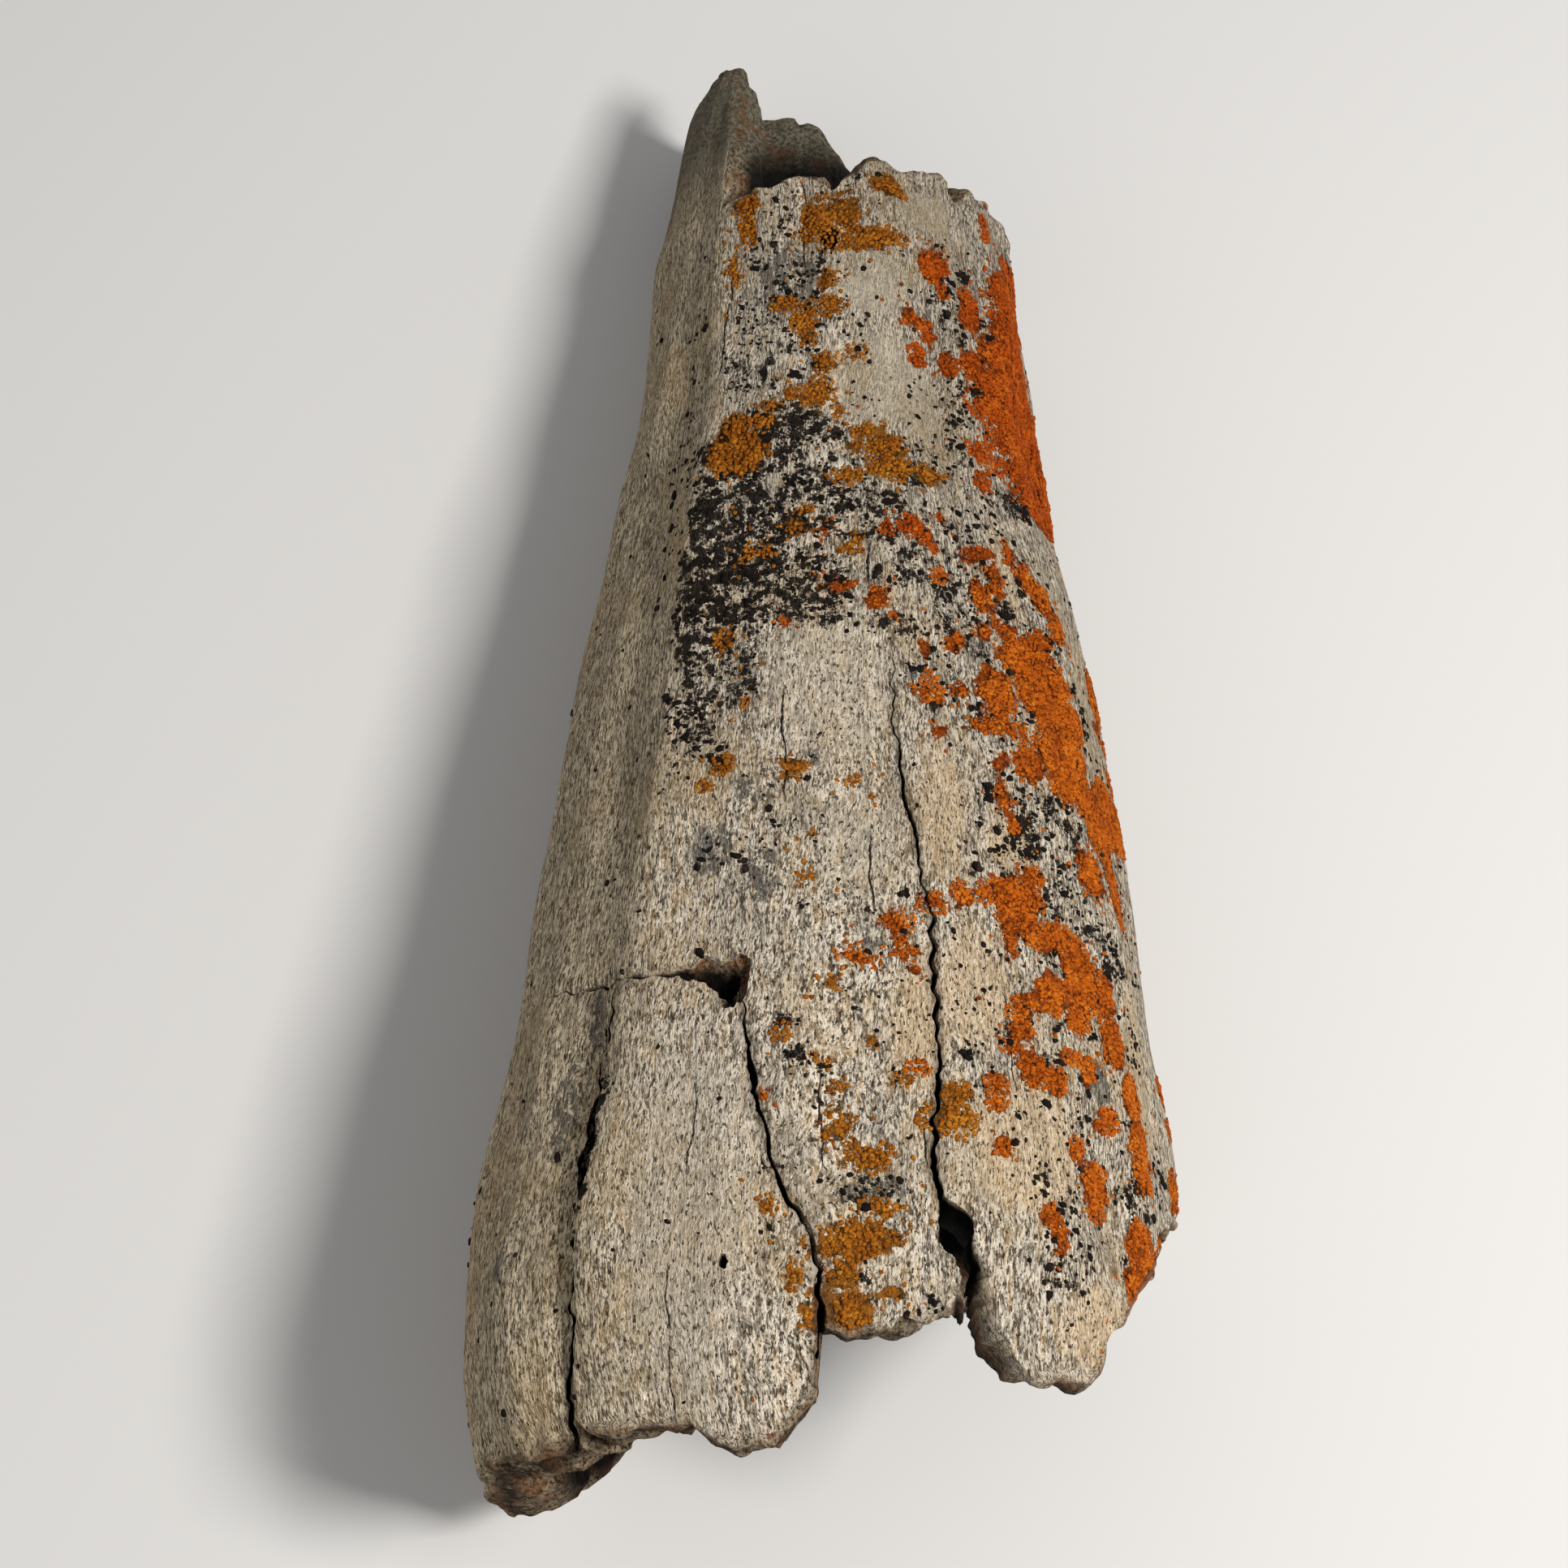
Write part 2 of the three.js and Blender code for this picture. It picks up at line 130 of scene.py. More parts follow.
# Chips: angle, station, reach round, reach along, depth.
CHIPS = [
    (75.6, -98.5, 2.6, 5.5, 14), (74.3, -94.6, 1.2, 3.8, 24), (103.2, -43.5, 1.6, 4.4, 2.6),
    (104.6, -46.6, 1.6, 2.6, 2.6), (82, -98.5, 3, 4, 4.5), (92.5, 92, 1.6, 2.4, 2.5),
    (102.4, -86.7, 0.65, 1.1, 3),
]
# Hairlines, too fine to open: angle and station of both ends.
HAIRLINES = [
    (86.3, 31, 86.1, 23), (91.8, -58, 91.2, -73), (110.9, -86.5, 110.5, -97), (110.5, -97, 111.8, -109),
    (119.5, 86, 119.8, 64), (98.9, 86, 99.3, 104), (79.2, -64.5, 78.5, -72.5), (104, -37.6, 94, -35.8),
    (136, 60, 134, 20), (108, -60, 108.6, -74), (64, -45, 63.5, -60), (87, -20, 86.2, -33),
    (99, 5, 98, -14), (172, -100, 169, -52), (169, -30, 171, 20), (186, 60, 190, 128), (158, 10, 160, 44),
    (200, -105, 197, -60), (205, -20, 208, 30), (8, -68, 11, -20), (14, 0, 12, 42), (-4, 20, -2, 88),
    (20, 60, 19, 100), (270, -60, 268, 60),
]

# The grid: columns round the horn, closer together on the crest, and rows along each stretch.
COLUMNS = 320
CROWDING = 28
ROWS = dict(hollow=18, base_break=14, outside=212, tip_break=10, pocket=12)
# The radius of the cylinder that the fibres are drawn on, and the size of the lattice of random numbers.
GRAIN_RADIUS = 40
LATTICE = 32
# The long splinter at the tip: its angles, worn smooth. A chip deeper than this is cut plumb.
SPAN_OF_TONGUE = (123, 300)
PLUMB_FROM = 10


def curve(stops, at):
    """A smooth curve through the stops: cubic pieces whose slopes are taken from the two neighbours."""
    x, v = np.array(stops, float).T
    slope = np.gradient(v, x)
    slope[1:-1] = (v[2:] - v[:-2]) / (x[2:] - x[:-2])
    at = np.clip(at, x[0], x[-1])
    k = np.clip(np.searchsorted(x, at, "right") - 1, 0, len(x) - 2)
    step = x[k + 1] - x[k]
    s = (at - x[k]) / step
    return (v[k] * (1 + 2 * s) * (1 - s) ** 2 + slope[k] * step * s * (1 - s) ** 2
            + v[k + 1] * s * s * (3 - 2 * s) + slope[k + 1] * step * s * s * (s - 1))


def hump(distance, spread):
    """A bell: e to the minus square of distance over spread."""
    return np.exp(-((distance / spread) ** 2))


def apart(angle, other):
    """The difference of two angles, the short way round, from -180 to 180 degrees."""
    return (angle - other + 180) % 360 - 180


def rising(value, low, high):
    """0 below low, 1 above high and an S-shaped rise in between: 3 t squared minus 2 t cubed."""
    t = np.clip((value - low) / (high - low), 0, 1)
    return t * t * (3 - 2 * t)


def within(value, low, high, edge):
    """1 inside the range and 0 outside it: a rise at the low end times a fall at the high end."""
    return rising(value, low - edge, low + edge) * (1 - rising(value, high - edge, high + edge))


def relief(angle, y):
    """The large forms above the plain section: the sum of the swells, the layers and the flute waves."""
    height = np.zeros(np.broadcast(angle, y).shape)
    for centre, spread, station, reach, rise in SWELLS:
        height += rise * hump(apart(angle, centre), spread) * hump(y - station, reach)
    for low, high, start, stop, rise in LAYERS:
        height += rise * within(angle % 360, low, high, 0.8) * within(y, start, stop, 1.6)
    for around, along, phase, rise in FLUTES:
        height += rise * np.sin(around * np.radians(angle) + 2 * np.pi * along * y / 1000 + phase)
    return height


def middle(y):
    """The line that the sections are drawn round: half way across and WAIST of the way up."""
    across = (curve(LEFT_SIDE, y) + curve(RIGHT_SIDE, y)) / 2 + 1
    return np.stack([across, y, WAIST * curve(CREST_HEIGHT, y)], -1)


def half_spans(y, right, upper):
    """The distance from the middle line to the side and to the crest or belly that an angle faces."""
    centre = middle(y)
    side = np.where(right, curve(RIGHT_SIDE, y) - centre[..., 0], centre[..., 0] - curve(LEFT_SIDE, y))
    rise = np.where(upper, curve(CREST_HEIGHT, y) - centre[..., 2], centre[..., 2] - BELLY_DIP)
    return side, rise


def skin(angle, y):
    """The outer surface: a superellipse round the middle line, lengthened by the relief, cut flat below."""
    angle, y = np.broadcast_arrays(np.asarray(angle, float), np.asarray(y, float))
    c, s = np.cos(np.radians(angle)), np.sin(np.radians(angle))
    side, rise = half_spans(y, c > 0, s > 0)
    across = side * np.sign(c) * np.abs(c) ** (2 / SQUARENESS)
    upward = rise * np.sign(s) * np.abs(s) ** (2 / SQUARENESS)
    length = np.hypot(across, upward)
    stretch = (length + relief(angle, y)) / length
    point = middle(y)
    point[..., 0] += across * stretch
    point[..., 2] = np.maximum(point[..., 2] + upward * stretch, 0)
    return point


def place_of(point):
    """The angle, station and depth below the skin of a point: the section formula taken backwards."""
    y = point[..., 1]
    spoke = point - middle(y)
    side, rise = half_spans(y, spoke[..., 0] > 0, spoke[..., 2] > 0)
    c = np.sign(spoke[..., 0]) * np.abs(spoke[..., 0] / side) ** (SQUARENESS / 2)
    s = np.sign(spoke[..., 2]) * np.abs(spoke[..., 2] / rise) ** (SQUARENESS / 2)
    angle = np.degrees(np.arctan2(s, c)) % 360
    reach = np.linalg.norm(skin(angle, y) - middle(y), axis=-1)
    return angle, y, reach - np.linalg.norm(spoke, axis=-1)


def outward(angle, y):
    """The direction square to the skin: the cross product of its slopes along and round the horn."""
    around = skin(angle + 0.7, y) - skin(angle - 0.7, y)
    along = skin(angle, y + 0.7) - skin(angle, y - 0.7)
    normal = np.cross(along, around)
    return normal / np.maximum(np.linalg.norm(normal, axis=-1, keepdims=True), 1e-9)


def in_wall(angle, y, depth):
    """A point at a depth below the skin, on the line to the middle of the section, at most 0.9 of it."""
    point = skin(angle, y)
    spoke = middle(point[..., 1]) - point
    length = np.linalg.norm(spoke, axis=-1)
    return point + spoke * np.minimum(depth / length, 0.9)[..., None]


def rim_station(rim, angle):
    """How far the broken wall reaches: straight lines between the stops, round the horn, plus teeth."""
    stops = np.array(rim + [(rim[0][0] + 360, rim[0][1])], float)
    y = np.interp(angle % 360, stops[:, 0], stops[:, 1])
    for around, phase, height in TEETH:
        y = y + height * np.sin(around * np.radians(angle) + phase)
    return y


def break_face(angle, share, end):
    """The face of a break: from the skin (share 0) over a rounded, bulging edge to the hollow (share 1)."""
    lean = end["lean"] * (1 - hump(apart(angle, SQUARE_BREAK[0]), SQUARE_BREAK[1])) * share
    rounded = end["bulge"] * (1 - np.sqrt(np.clip(np.sin(np.pi * share), 0, 1)))
    y = rim_station(end["rim"], angle) - end["side"] * (rounded + lean)
    return in_wall(angle, y, end["wall"] * share)


def hollow_wall(angle, share, end):
    """The wall of a hollow: from a rounded closed end on the middle line (share 0) to the break (share 1)."""
    mouth = break_face(angle, np.ones_like(share), end)[..., 1]
    y = end["closed"] + (mouth - end["closed"]) * share
    wall = in_wall(angle, y, end["deep_wall"] + (end["wall"] - end["deep_wall"]) * share)
    roundness = np.sqrt(1 - (1 - np.minimum(share / ROUNDED_END, 1)) ** 2)[..., None]
    centre = middle(y)
    return centre + (wall - centre) * roundness


def lumps(point, size, seed):
    """Random lumps of a given size, from -1 to 1: numbers on a lattice, joined by S-shaped blends."""
    lattice = np.random.RandomState(seed).uniform(-1, 1, (LATTICE,) * 3)
    cell = np.asarray(point) / np.asarray(size, float)
    base = np.floor(cell).astype(int)
    f = cell - base
    f = f * f * (3 - 2 * f)
    total = np.zeros(cell.shape[:-1])
    for dx in (0, 1):
        for dy in (0, 1):
            for dz in (0, 1):
                weight = (np.where(dx, f[..., 0], 1 - f[..., 0]) * np.where(dy, f[..., 1], 1 - f[..., 1])
                          * np.where(dz, f[..., 2], 1 - f[..., 2]))
                near = (base + (dx, dy, dz)) % LATTICE
                total += weight * lattice[near[..., 0], near[..., 1], near[..., 2]]
    return total


def along_grain(angle, y):
    """Coordinates that follow the fibres: a cylinder of even radius, so a fibre keeps its angle."""
    a = np.radians(angle)
    return np.stack([GRAIN_RADIUS * np.cos(a), np.broadcast_to(y, a.shape), GRAIN_RADIUS * np.sin(a)], -1)


def degree_width(y):
    """The millimetres of skin in one degree at a station: a radian share of half the width there."""
    return np.radians(1) * (curve(RIGHT_SIDE, y) - curve(LEFT_SIDE, y)) / 2


def line_distance(angle, y, lines):
    """The distance over the skin, in millimetres, to the edge of the nearest of some lines."""
    per_degree = degree_width(y)
    nearest = np.full(np.shape(angle), 1e3)
    for stop_angle, stop_y, half_width in lines:
        for a, b, w in zip(stop_angle, stop_y, half_width):
            gap = np.hypot(apart(angle, a) * per_degree, y - b) - w
            nearest = np.minimum(nearest, gap)
    return nearest


def crack_lines(names=tuple(CRACKS)):
    """The named cracks as close-set points with their half widths: a smooth curve through the stops."""
    lines = []
    for *_, stops in [CRACKS[name] for name in names]:
        at = np.linspace(0, len(stops) - 1, 8 * len(stops))
        columns = [curve([(k, stop[c]) for k, stop in enumerate(stops)], at) for c in (0, 1, 2)]
        lines.append(columns)
    return lines


def hairlines_near(angle, y):
    """How far to the right of the nearest hairline a place is, in millimetres, and whether it lies beside it:
    straight lines with two sine waves on them, so that the distance changes evenly across a line."""
    per_degree = degree_width(y)
    aside = np.full(np.shape(angle), 9.0)
    beside = np.zeros(np.shape(angle))
    for a0, y0, a1, y1 in HAIRLINES:
        way = y - y0
        line = a0 + (a1 - a0) * way / (y1 - y0)
        line = line + 0.25 * np.sin(0.5 * way + a0) + 0.12 * np.sin(1.3 * way + y0)
        gap = apart(angle, line) * per_degree
        past = np.maximum(min(y0, y1) - y, y - max(y0, y1))
        nearer = (past < 1) & (np.abs(gap) < np.abs(aside))
        aside = np.where(nearer, gap, aside)
        beside = np.where(nearer, 1 - rising(past, -1.5, 1), beside)
    return np.clip(aside, -3, 3), beside


def weathering(angle, y):
    """The fine relief of the outside, in millimetres: fibre bundles, open pits, lumps and worn edges."""
    g = along_grain(angle, y)
    smooth_side = 0.45 + 0.55 * (1 - within(angle % 360, 124, 215, 6) * rising(y, -60, -20))
    bundles = 0.13 * (1 - 2 * np.abs(lumps(g, (1.5, 9, 1.5), 1))) + 0.08 * lumps(g, (1.0, 5, 1.0), 2)
    pits = -0.35 * rising(lumps(g, (1.3, 3.2, 1.3), 3), 0.42, 0.8)
    swell = 0.28 * lumps(g, (4.5, 16, 4.5), 4) + 0.3 * lumps(g, (9, 26, 9), 5)
    rim = np.minimum(np.abs(y - rim_station(BASE_RIM, angle)), np.abs(y - rim_station(TIP_RIM, angle)))
    crumbs = 0.75 * lumps(g, (2.6, 2.6, 2.6), 6) + 0.35 * lumps(g, (1.3, 1.3, 1.3), 7) - 0.15
    crumble = hump(rim, 5) * crumbs
    edge = -0.22 * hump(np.maximum(line_distance(angle, y, crack_lines()), 0), 0.7)
    return smooth_side * (bundles + pits) + swell + crumble + edge


def sponge(point):
    """The relief of broken bone, in millimetres: coarse and fine lumps with open pores between."""
    coarse = 0.7 * lumps(point, (3.4, 3.4, 3.4), 8) + 0.4 * lumps(point, (1.7, 1.7, 1.7), 9)
    pores = -0.9 * rising(lumps(point, (2.1, 2.1, 2.1), 10), 0.25, 0.7)
    return coarse + pores


def facing(grid):
    """The direction square to a closed grid: the cross product of its slopes along rows and columns."""
    around = np.roll(grid, -1, 0) - np.roll(grid, 1, 0)
    along = np.gradient(grid, axis=1)
    normal = np.cross(along, around)
    return normal / np.maximum(np.linalg.norm(normal, axis=-1, keepdims=True), 1e-9)


def mesh_object(name, points, faces):
    """Puts points in millimetres and faces into a new mesh object."""
    mesh = bpy.data.meshes.new(name)
    mesh.from_pydata((np.asarray(points) * MM).tolist(), [], np.asarray(faces).tolist())
    mesh.validate()
    mesh.update()
    thing = bpy.data.objects.new(name, mesh)
    bpy.context.collection.objects.link(thing)
    return thing


def tube_faces(columns, rows):
    """Quads of a grid that is closed round its columns: four neighbouring points each."""
    i, j = np.meshgrid(np.arange(columns), np.arange(rows), indexing="ij")
    n = (i + 1) % columns
    return np.stack([i * (rows + 1) + j, n * (rows + 1) + j, n * (rows + 1) + j + 1, i * (rows + 1) + j + 1],
                    -1).reshape(-1, 4)


def pinched(grid):
    """Draws both end columns of a closed grid together into their mean point."""
    grid[:, 0] = grid[:, 0].mean(0)
    grid[:, -1] = grid[:, -1].mean(0)
    return grid


def soften(grid, share, turns):
    """Wears a closed grid round: each point moves half way to the mean of its four neighbours, in turns."""
    for _ in range(turns):
        mean = (np.roll(grid, 1, 0) + np.roll(grid, -1, 0)) / 4
        mean[:, 1:-1] += (grid[:, 2:] + grid[:, :-2]) / 4
        grid[:, 1:-1] += 0.5 * share[:, 1:-1, None] * (mean - grid)[:, 1:-1]
    return grid


def sock():
    """The whole surface on one grid: hollow, break, outside, break and pocket, with the fine relief added."""
    u = np.arange(COLUMNS) / COLUMNS
    angle = 360 * u + CROWDING * np.cos(2 * np.pi * u)
    parts, skins = [], []
    start = break_face(angle, np.zeros(COLUMNS), HOLLOW)[:, 1]
    stop = break_face(angle, np.zeros(COLUMNS), POCKET)[:, 1]
    for kind, rows in ROWS.items():
        share = np.linspace(0, 1, rows + 1)[1 if parts else 0:]
        a, s = np.meshgrid(angle, share, indexing="ij")
        if kind == "hollow":
            part = hollow_wall(a, s, HOLLOW)
        elif kind == "base_break":
            part = break_face(a, (1 - s) ** 2, HOLLOW)
        elif kind == "outside":
            part = skin(a, start[:, None] + (stop - start)[:, None] * s)
        elif kind == "tip_break":
            part = break_face(a, s ** 2, POCKET)
        else:
            part = hollow_wall(a, 1 - s, POCKET)
        parts.append(part)
        skins.append(np.full(a.shape, kind == "outside", float))
    grid = np.concatenate(parts, 1)
    outside = np.concatenate(skins, 1)
    a = np.broadcast_to(angle[:, None], outside.shape)
    tongue = within(a % 360, *SPAN_OF_TONGUE, 3) * rising(grid[..., 1], 100, 108)
    grid = soften(grid, tongue, turns=100)
    height = np.where(outside > 0, weathering(a, grid[..., 1]), sponge(grid))
    height[:, [0, -1]] = 0
    grid = pinched(grid + facing(grid) * height[..., None])
    grid[..., 2] = np.maximum(grid[..., 2], 0)
    return grid


def blade(plumb, left_edge, right_edge, stops, seed):
    """A wedge along a crack: its section is carried along the stops, opens towards the skin where the edges
    are worn back, is pushed about by lumps, and is pinched to a point at both ends."""
    count = 14 * (len(stops) - 1)
    at = np.linspace(0, len(stops) - 1, count + 1)
    columns = [curve([(k, stop[c]) for k, stop in enumerate(stops)], at) for c in range(4)]
    angle, y, half_width, depth = columns
    half_width = np.maximum(half_width, 0.08)
    centre = skin(angle, y)
    up = np.broadcast_to([0.0, 0, 1], centre.shape) if plumb else outward(angle, y)
    sideways = np.cross(np.gradient(centre, axis=0), up)
    sideways /= np.linalg.norm(sideways, axis=-1, keepdims=True)
    way = np.cumsum(np.linalg.norm(np.gradient(centre, axis=0), axis=-1))
    spot = np.stack([way, way * 0, way * 0 + seed], -1)
    wander = 0.5 * lumps(spot, (2.3, 1, 1), 12) + 0.25 * lumps(spot, (0.9, 1, 1), 15)
    centre = centre + sideways * wander[:, None]
    lift = np.sin(np.pi * np.clip(at / at[-1], 0, 1)) ** 0.25
    # How open the worn edges are, and how wide and how deep the crack is, from above the skin to its root.
    levels = [(1.25, 1, -3), (1, 1, -0.3), (0.76, 1, 0.02), (0.5, 1, 0.05), (0.25, 1, 0.1), (0.08, 1, 0.18),
              (0, 0.95, 0.32), (0, 0.8, 0.55), (0, 0.6, 0.8), (0, 0.4, 1)]
    rings = []
    for side, edge, order in [(1, left_edge, levels), (-1, right_edge, levels[::-1])]:
        for worn, wide, deep in order:
            sunk = deep * depth if deep > 0 else np.full_like(at, deep)
            spot = np.stack([way, sunk, np.full_like(at, 5.0 * seed + 2 * side)], -1)
            rough = 0.6 * lumps(spot, (1.7, 1.9, 1), 13) + 0.4 * lumps(spot, (0.8, 1.1, 1), 14)
            reach = half_width * wide + edge * worn
            reach = reach + rough * np.minimum(0.65 * reach, 0.8)
            rings.append(centre + (sideways * (side * reach)[:, None] - up * sunk[:, None]) * lift[:, None])
    grid = np.stack(rings)
    return mesh_object("blade", pinched(grid).reshape(-1, 3), tube_faces(len(rings), count))


def scoop(angle, station, around, along, depth, seed):
    """A lumpy ball, sunk into the skin, or plumb where it is deep: a sphere pushed in and out by lumps."""
    columns, rows = 24, 14
    turn = np.linspace(0, 2 * np.pi, columns + 1)[:-1]
    a, p = np.meshgrid(turn, np.linspace(0, np.pi, rows + 1), indexing="ij")
    ball = np.stack([np.sin(p) * np.cos(a), np.sin(p) * np.sin(a), np.cos(p)], -1)
    ball = ball * (1 + 0.22 * lumps(ball * 3 + seed, (1.2, 1.2, 1.2), 11))[..., None]
    up = np.array([0, 0, 1.0])
    if depth < PLUMB_FROM:
        up = outward(np.array(float(angle)), np.array(float(station)))
    lengthwise = np.array([0, 1.0, 0]) - up * up[1]
    lengthwise /= np.linalg.norm(lengthwise)
    axes = np.stack([np.cross(lengthwise, up) * around, lengthwise * along, up * depth])
    grid = skin(angle, station) + ball @ axes
    return mesh_object("scoop", pinched(grid).reshape(-1, 3), tube_faces(columns, rows))


def weld(thing):
    """Merges the points that lie on each other and turns the faces outwards."""
    work = bmesh.new()
    work.from_mesh(thing.data)
    bmesh.ops.remove_doubles(work, verts=work.verts, dist=1e-6)
    bmesh.ops.dissolve_degenerate(work, edges=work.edges, dist=1e-7)
    bmesh.ops.recalc_face_normals(work, faces=work.faces)
    work.to_mesh(thing.data)
    work.free()
    return thing


def cut(thing, tool):
    """Cuts a closed tool out of a closed mesh for good, and removes the tool."""
    modifier = thing.modifiers.new("cut", "BOOLEAN")
    modifier.operation = "DIFFERENCE"
    modifier.solver = "MANIFOLD"
    modifier.object = weld(tool)
    bpy.context.view_layer.update()
    whole = bpy.data.meshes.new_from_object(thing.evaluated_get(bpy.context.evaluated_depsgraph_get()))
    thing.modifiers.clear()
    thing.data = whole
    bpy.data.objects.remove(tool)


def drop_crumbs(thing):
    """Deletes what the cuts have left loose: joined points take the lowest number among them, and the group
    of points with the commonest number stays."""
    edges = np.empty(2 * len(thing.data.edges), int)
    thing.data.edges.foreach_get("vertices", edges)
    a, b = edges.reshape(-1, 2).T
    label = np.arange(len(thing.data.vertices))
    changed = True
    while changed:
        before = label.copy()
        low = np.minimum(label[a], label[b])
        np.minimum.at(label, a, low)
        np.minimum.at(label, b, low)
        label = label[label]
        changed = not np.array_equal(before, label)
    work = bmesh.new()
    work.from_mesh(thing.data)
    work.verts.ensure_lookup_table()
    loose = np.flatnonzero(label != np.bincount(label).argmax())
    bmesh.ops.delete(work, geom=[work.verts[k] for k in loose], context="VERTS")
    work.to_mesh(thing.data)
    work.free()
    print("loose points dropped", len(loose))


grid = sock()
bone = weld(mesh_object("bone", grid.reshape(-1, 3), tube_faces(COLUMNS, sum(ROWS.values()))))
for number, crack in enumerate(CRACKS.values()):
    cut(bone, blade(*crack, seed=number))
for number, chip in enumerate(CHIPS):
    cut(bone, scoop(*chip, seed=number))
drop_crumbs(bone)
bone.data.name = "bone"
bone.data.polygons.foreach_set("use_smooth", np.ones(len(bone.data.polygons), bool))
bone.data.set_sharp_from_angle(angle=np.radians(52))
print("bone triangles", sum(len(p.vertices) - 2 for p in bone.data.polygons))


def write_attribute(thing, name, values, kind="FLOAT"):
    """Stores one number, or one vector, for each point of a mesh."""
    layer = thing.data.attributes.new(name, kind, "POINT")
    layer.data.foreach_set("value" if kind == "FLOAT" else "vector", np.asarray(values, np.float32).ravel())


def points_of(thing):
    """The points of a mesh in millimetres."""
    flat = np.empty(3 * len(thing.data.vertices))
    thing.data.vertices.foreach_get("co", flat)
    return flat.reshape(-1, 3) / MM


def reach_inside(angle, y, patches):
    """How far inside the nearest of some oval patches a place is, in millimetres, negative outside."""
    per_degree = degree_width(y)
    inside = np.full(np.shape(angle), -50.0)
    for centre, station, around, along in patches:
        share = np.hypot(apart(angle, centre) / around, (y - station) / along)
        inside = np.maximum(inside, (1 - share) * np.minimum(around * per_degree, along))
    return inside


# Stains: angle, station, half of the width round the horn in degrees, half of the length along it.
SMOOTH_BONE = [(83, 63, 12, 9), (84, 82, 9, 7), (64, 98, 10, 4), (70, 60, 7, 8)]
PALE_BONE = [(92, 5, 9, 13), (108, -80, 9, 26), (88, -20, 6, 8)]
TAN_BONE = [
    (74, -14, 5, 9), (62, -68, 10, 10), (52, 31, 4, 6), (70, -45, 7, 9), (80, -50, 4, 10), (28, 14, 5, 12),
    (26, -50, 6, 16), (60, -20, 6, 5), (48, -94, 9, 6),
]
GREY_HAZE = [
    (101, -27, 4, 6), (110, -22, 5, 5), (94.5, -32, 1.2, 1.6), (86.5, -38, 2, 3), (93.8, -6.5, 2.8, 2.8),
    (86, -76, 5, 3), (83.3, -70.3, 1, 1.8), (132, -46, 4, 6), (137, -60, 4, 10), (63, 14, 4, 4),
    (77.5, 8.5, 2, 3), (103.5, -12, 4, 3), (148, -82, 3, 3), (45, -57, 5, 4), (99, -95.5, 1.5, 1.5),
    (119, -97, 1.2, 1.2), (103, 83, 10, 8), (128.5, -68, 3, 10), (112.5, -83, 1.2, 1.2),
]

bone_points = points_of(bone)
bone_angle, bone_y, bone_depth = place_of(bone_points)
no_share = np.zeros(len(bone_angle))
before_base = break_face(bone_angle, no_share, HOLLOW)[:, 1] - bone_y
beyond_tip = bone_y - break_face(bone_angle, no_share, POCKET)[:, 1]
under_skin = bone_depth + weathering(bone_angle, bone_y)
past_edge = np.maximum(before_base, beyond_tip)
broken = np.maximum(rising(under_skin, 0.3, 0.9), rising(past_edge, -0.4, 0.8))
slot_gap = line_distance(bone_angle, bone_y, crack_lines(["slot"]))
# The worn lips of the slot keep some of the skin's colour.
worn_lip = 0.7 * (1 - rising(slot_gap, 3, 7)) * (1 - rising(under_skin, 2.5, 6))
broken *= 1 - worn_lip * (1 - rising(bone_y, -92, -89))
# Painted shade darkens the clefts: it stays near the cracks and chips, and off the lit floor of the chip on
# the crest.
chip_floor = within(bone_angle, 98, 113, 0.5) * within(bone_y, -53, -36, 0.5)
lit_slope = within(bone_angle, 98, 104.4, 0.6) * chip_floor
cleft_painted_shade = rising(under_skin - 1.3 * chip_floor, 0.3, 1.4) * (1 - 0.9 * lit_slope) * (before_base < -1.5)
chip_patches = [(a, y, 1.2 * around, along) for a, y, around, along, _ in CHIPS]
chip_gap = -reach_inside(bone_angle, bone_y, chip_patches)
opening_gap = np.minimum(line_distance(bone_angle, bone_y, crack_lines()), chip_gap)
open_slot = (slot_gap < 12) * (1 - rising(bone_y, -92, -88))
cleft_painted_shade *= (1 - rising(opening_gap, 5, 8)) * (bone_y < 98) * (1 - open_slot)
# Painted shade deep inside the hollow at the base, and in the tip's pocket behind its rim.
hollow_painted_shade = rising(bone_depth, 8, 13) * (bone_y < 0)
past_rim = bone_y - 105 - 0.6 * (47 - bone_points[:, 2])
pocket_painted_shade = rising(bone_depth, 2, 5) * (1 - rising(past_rim, -1, 8)) * (bone_y > 80)
hair_side, hair_beside = hairlines_near(bone_angle, bone_y)
# The fibres' coordinates shrink with depth, so that they don't smear down a cut.
inward = 1 - under_skin / GRAIN_RADIUS
grain = along_grain(bone_angle, bone_y) * np.stack([inward, no_share + 1, inward], -1)
write_attribute(bone, "grain", grain, "FLOAT_VECTOR")
write_attribute(bone, "broken", broken)
# The attribute dark carries the painted shade of the clefts, the hollow and the pocket.
write_attribute(bone, "dark", np.maximum(cleft_painted_shade, np.maximum(hollow_painted_shade, pocket_painted_shade)))
# Painted shade: a band on the base's break face a few millimetres under the skin edge, where the edge
# overhangs.
write_attribute(bone, "shade_under_edge", broken * hump(bone_depth - 2.8, 1.8) * rising(before_base, -2, 1))
write_attribute(bone, "tongue", rising(bone_y, 104, 120) * within(bone_angle, 122, 300, 4))
dirty_gap = line_distance(bone_angle, bone_y, crack_lines(["centre", "stepped", "left"]))
write_attribute(bone, "crack_dirt", hump(np.maximum(dirty_gap, 0), 0.5))
write_attribute(bone, "hair_side", hair_side)
write_attribute(bone, "hair_beside", hair_beside)
write_attribute(bone, "left_face", within(bone_angle % 360, 121, 290, 7))
stains = {"grey_haze": GREY_HAZE, "pale": PALE_BONE, "tan": TAN_BONE, "smooth": SMOOTH_BONE}
for name, patches in stains.items():
    write_attribute(bone, name, rising(reach_inside(bone_angle, bone_y, patches), -2.0, 2.0))


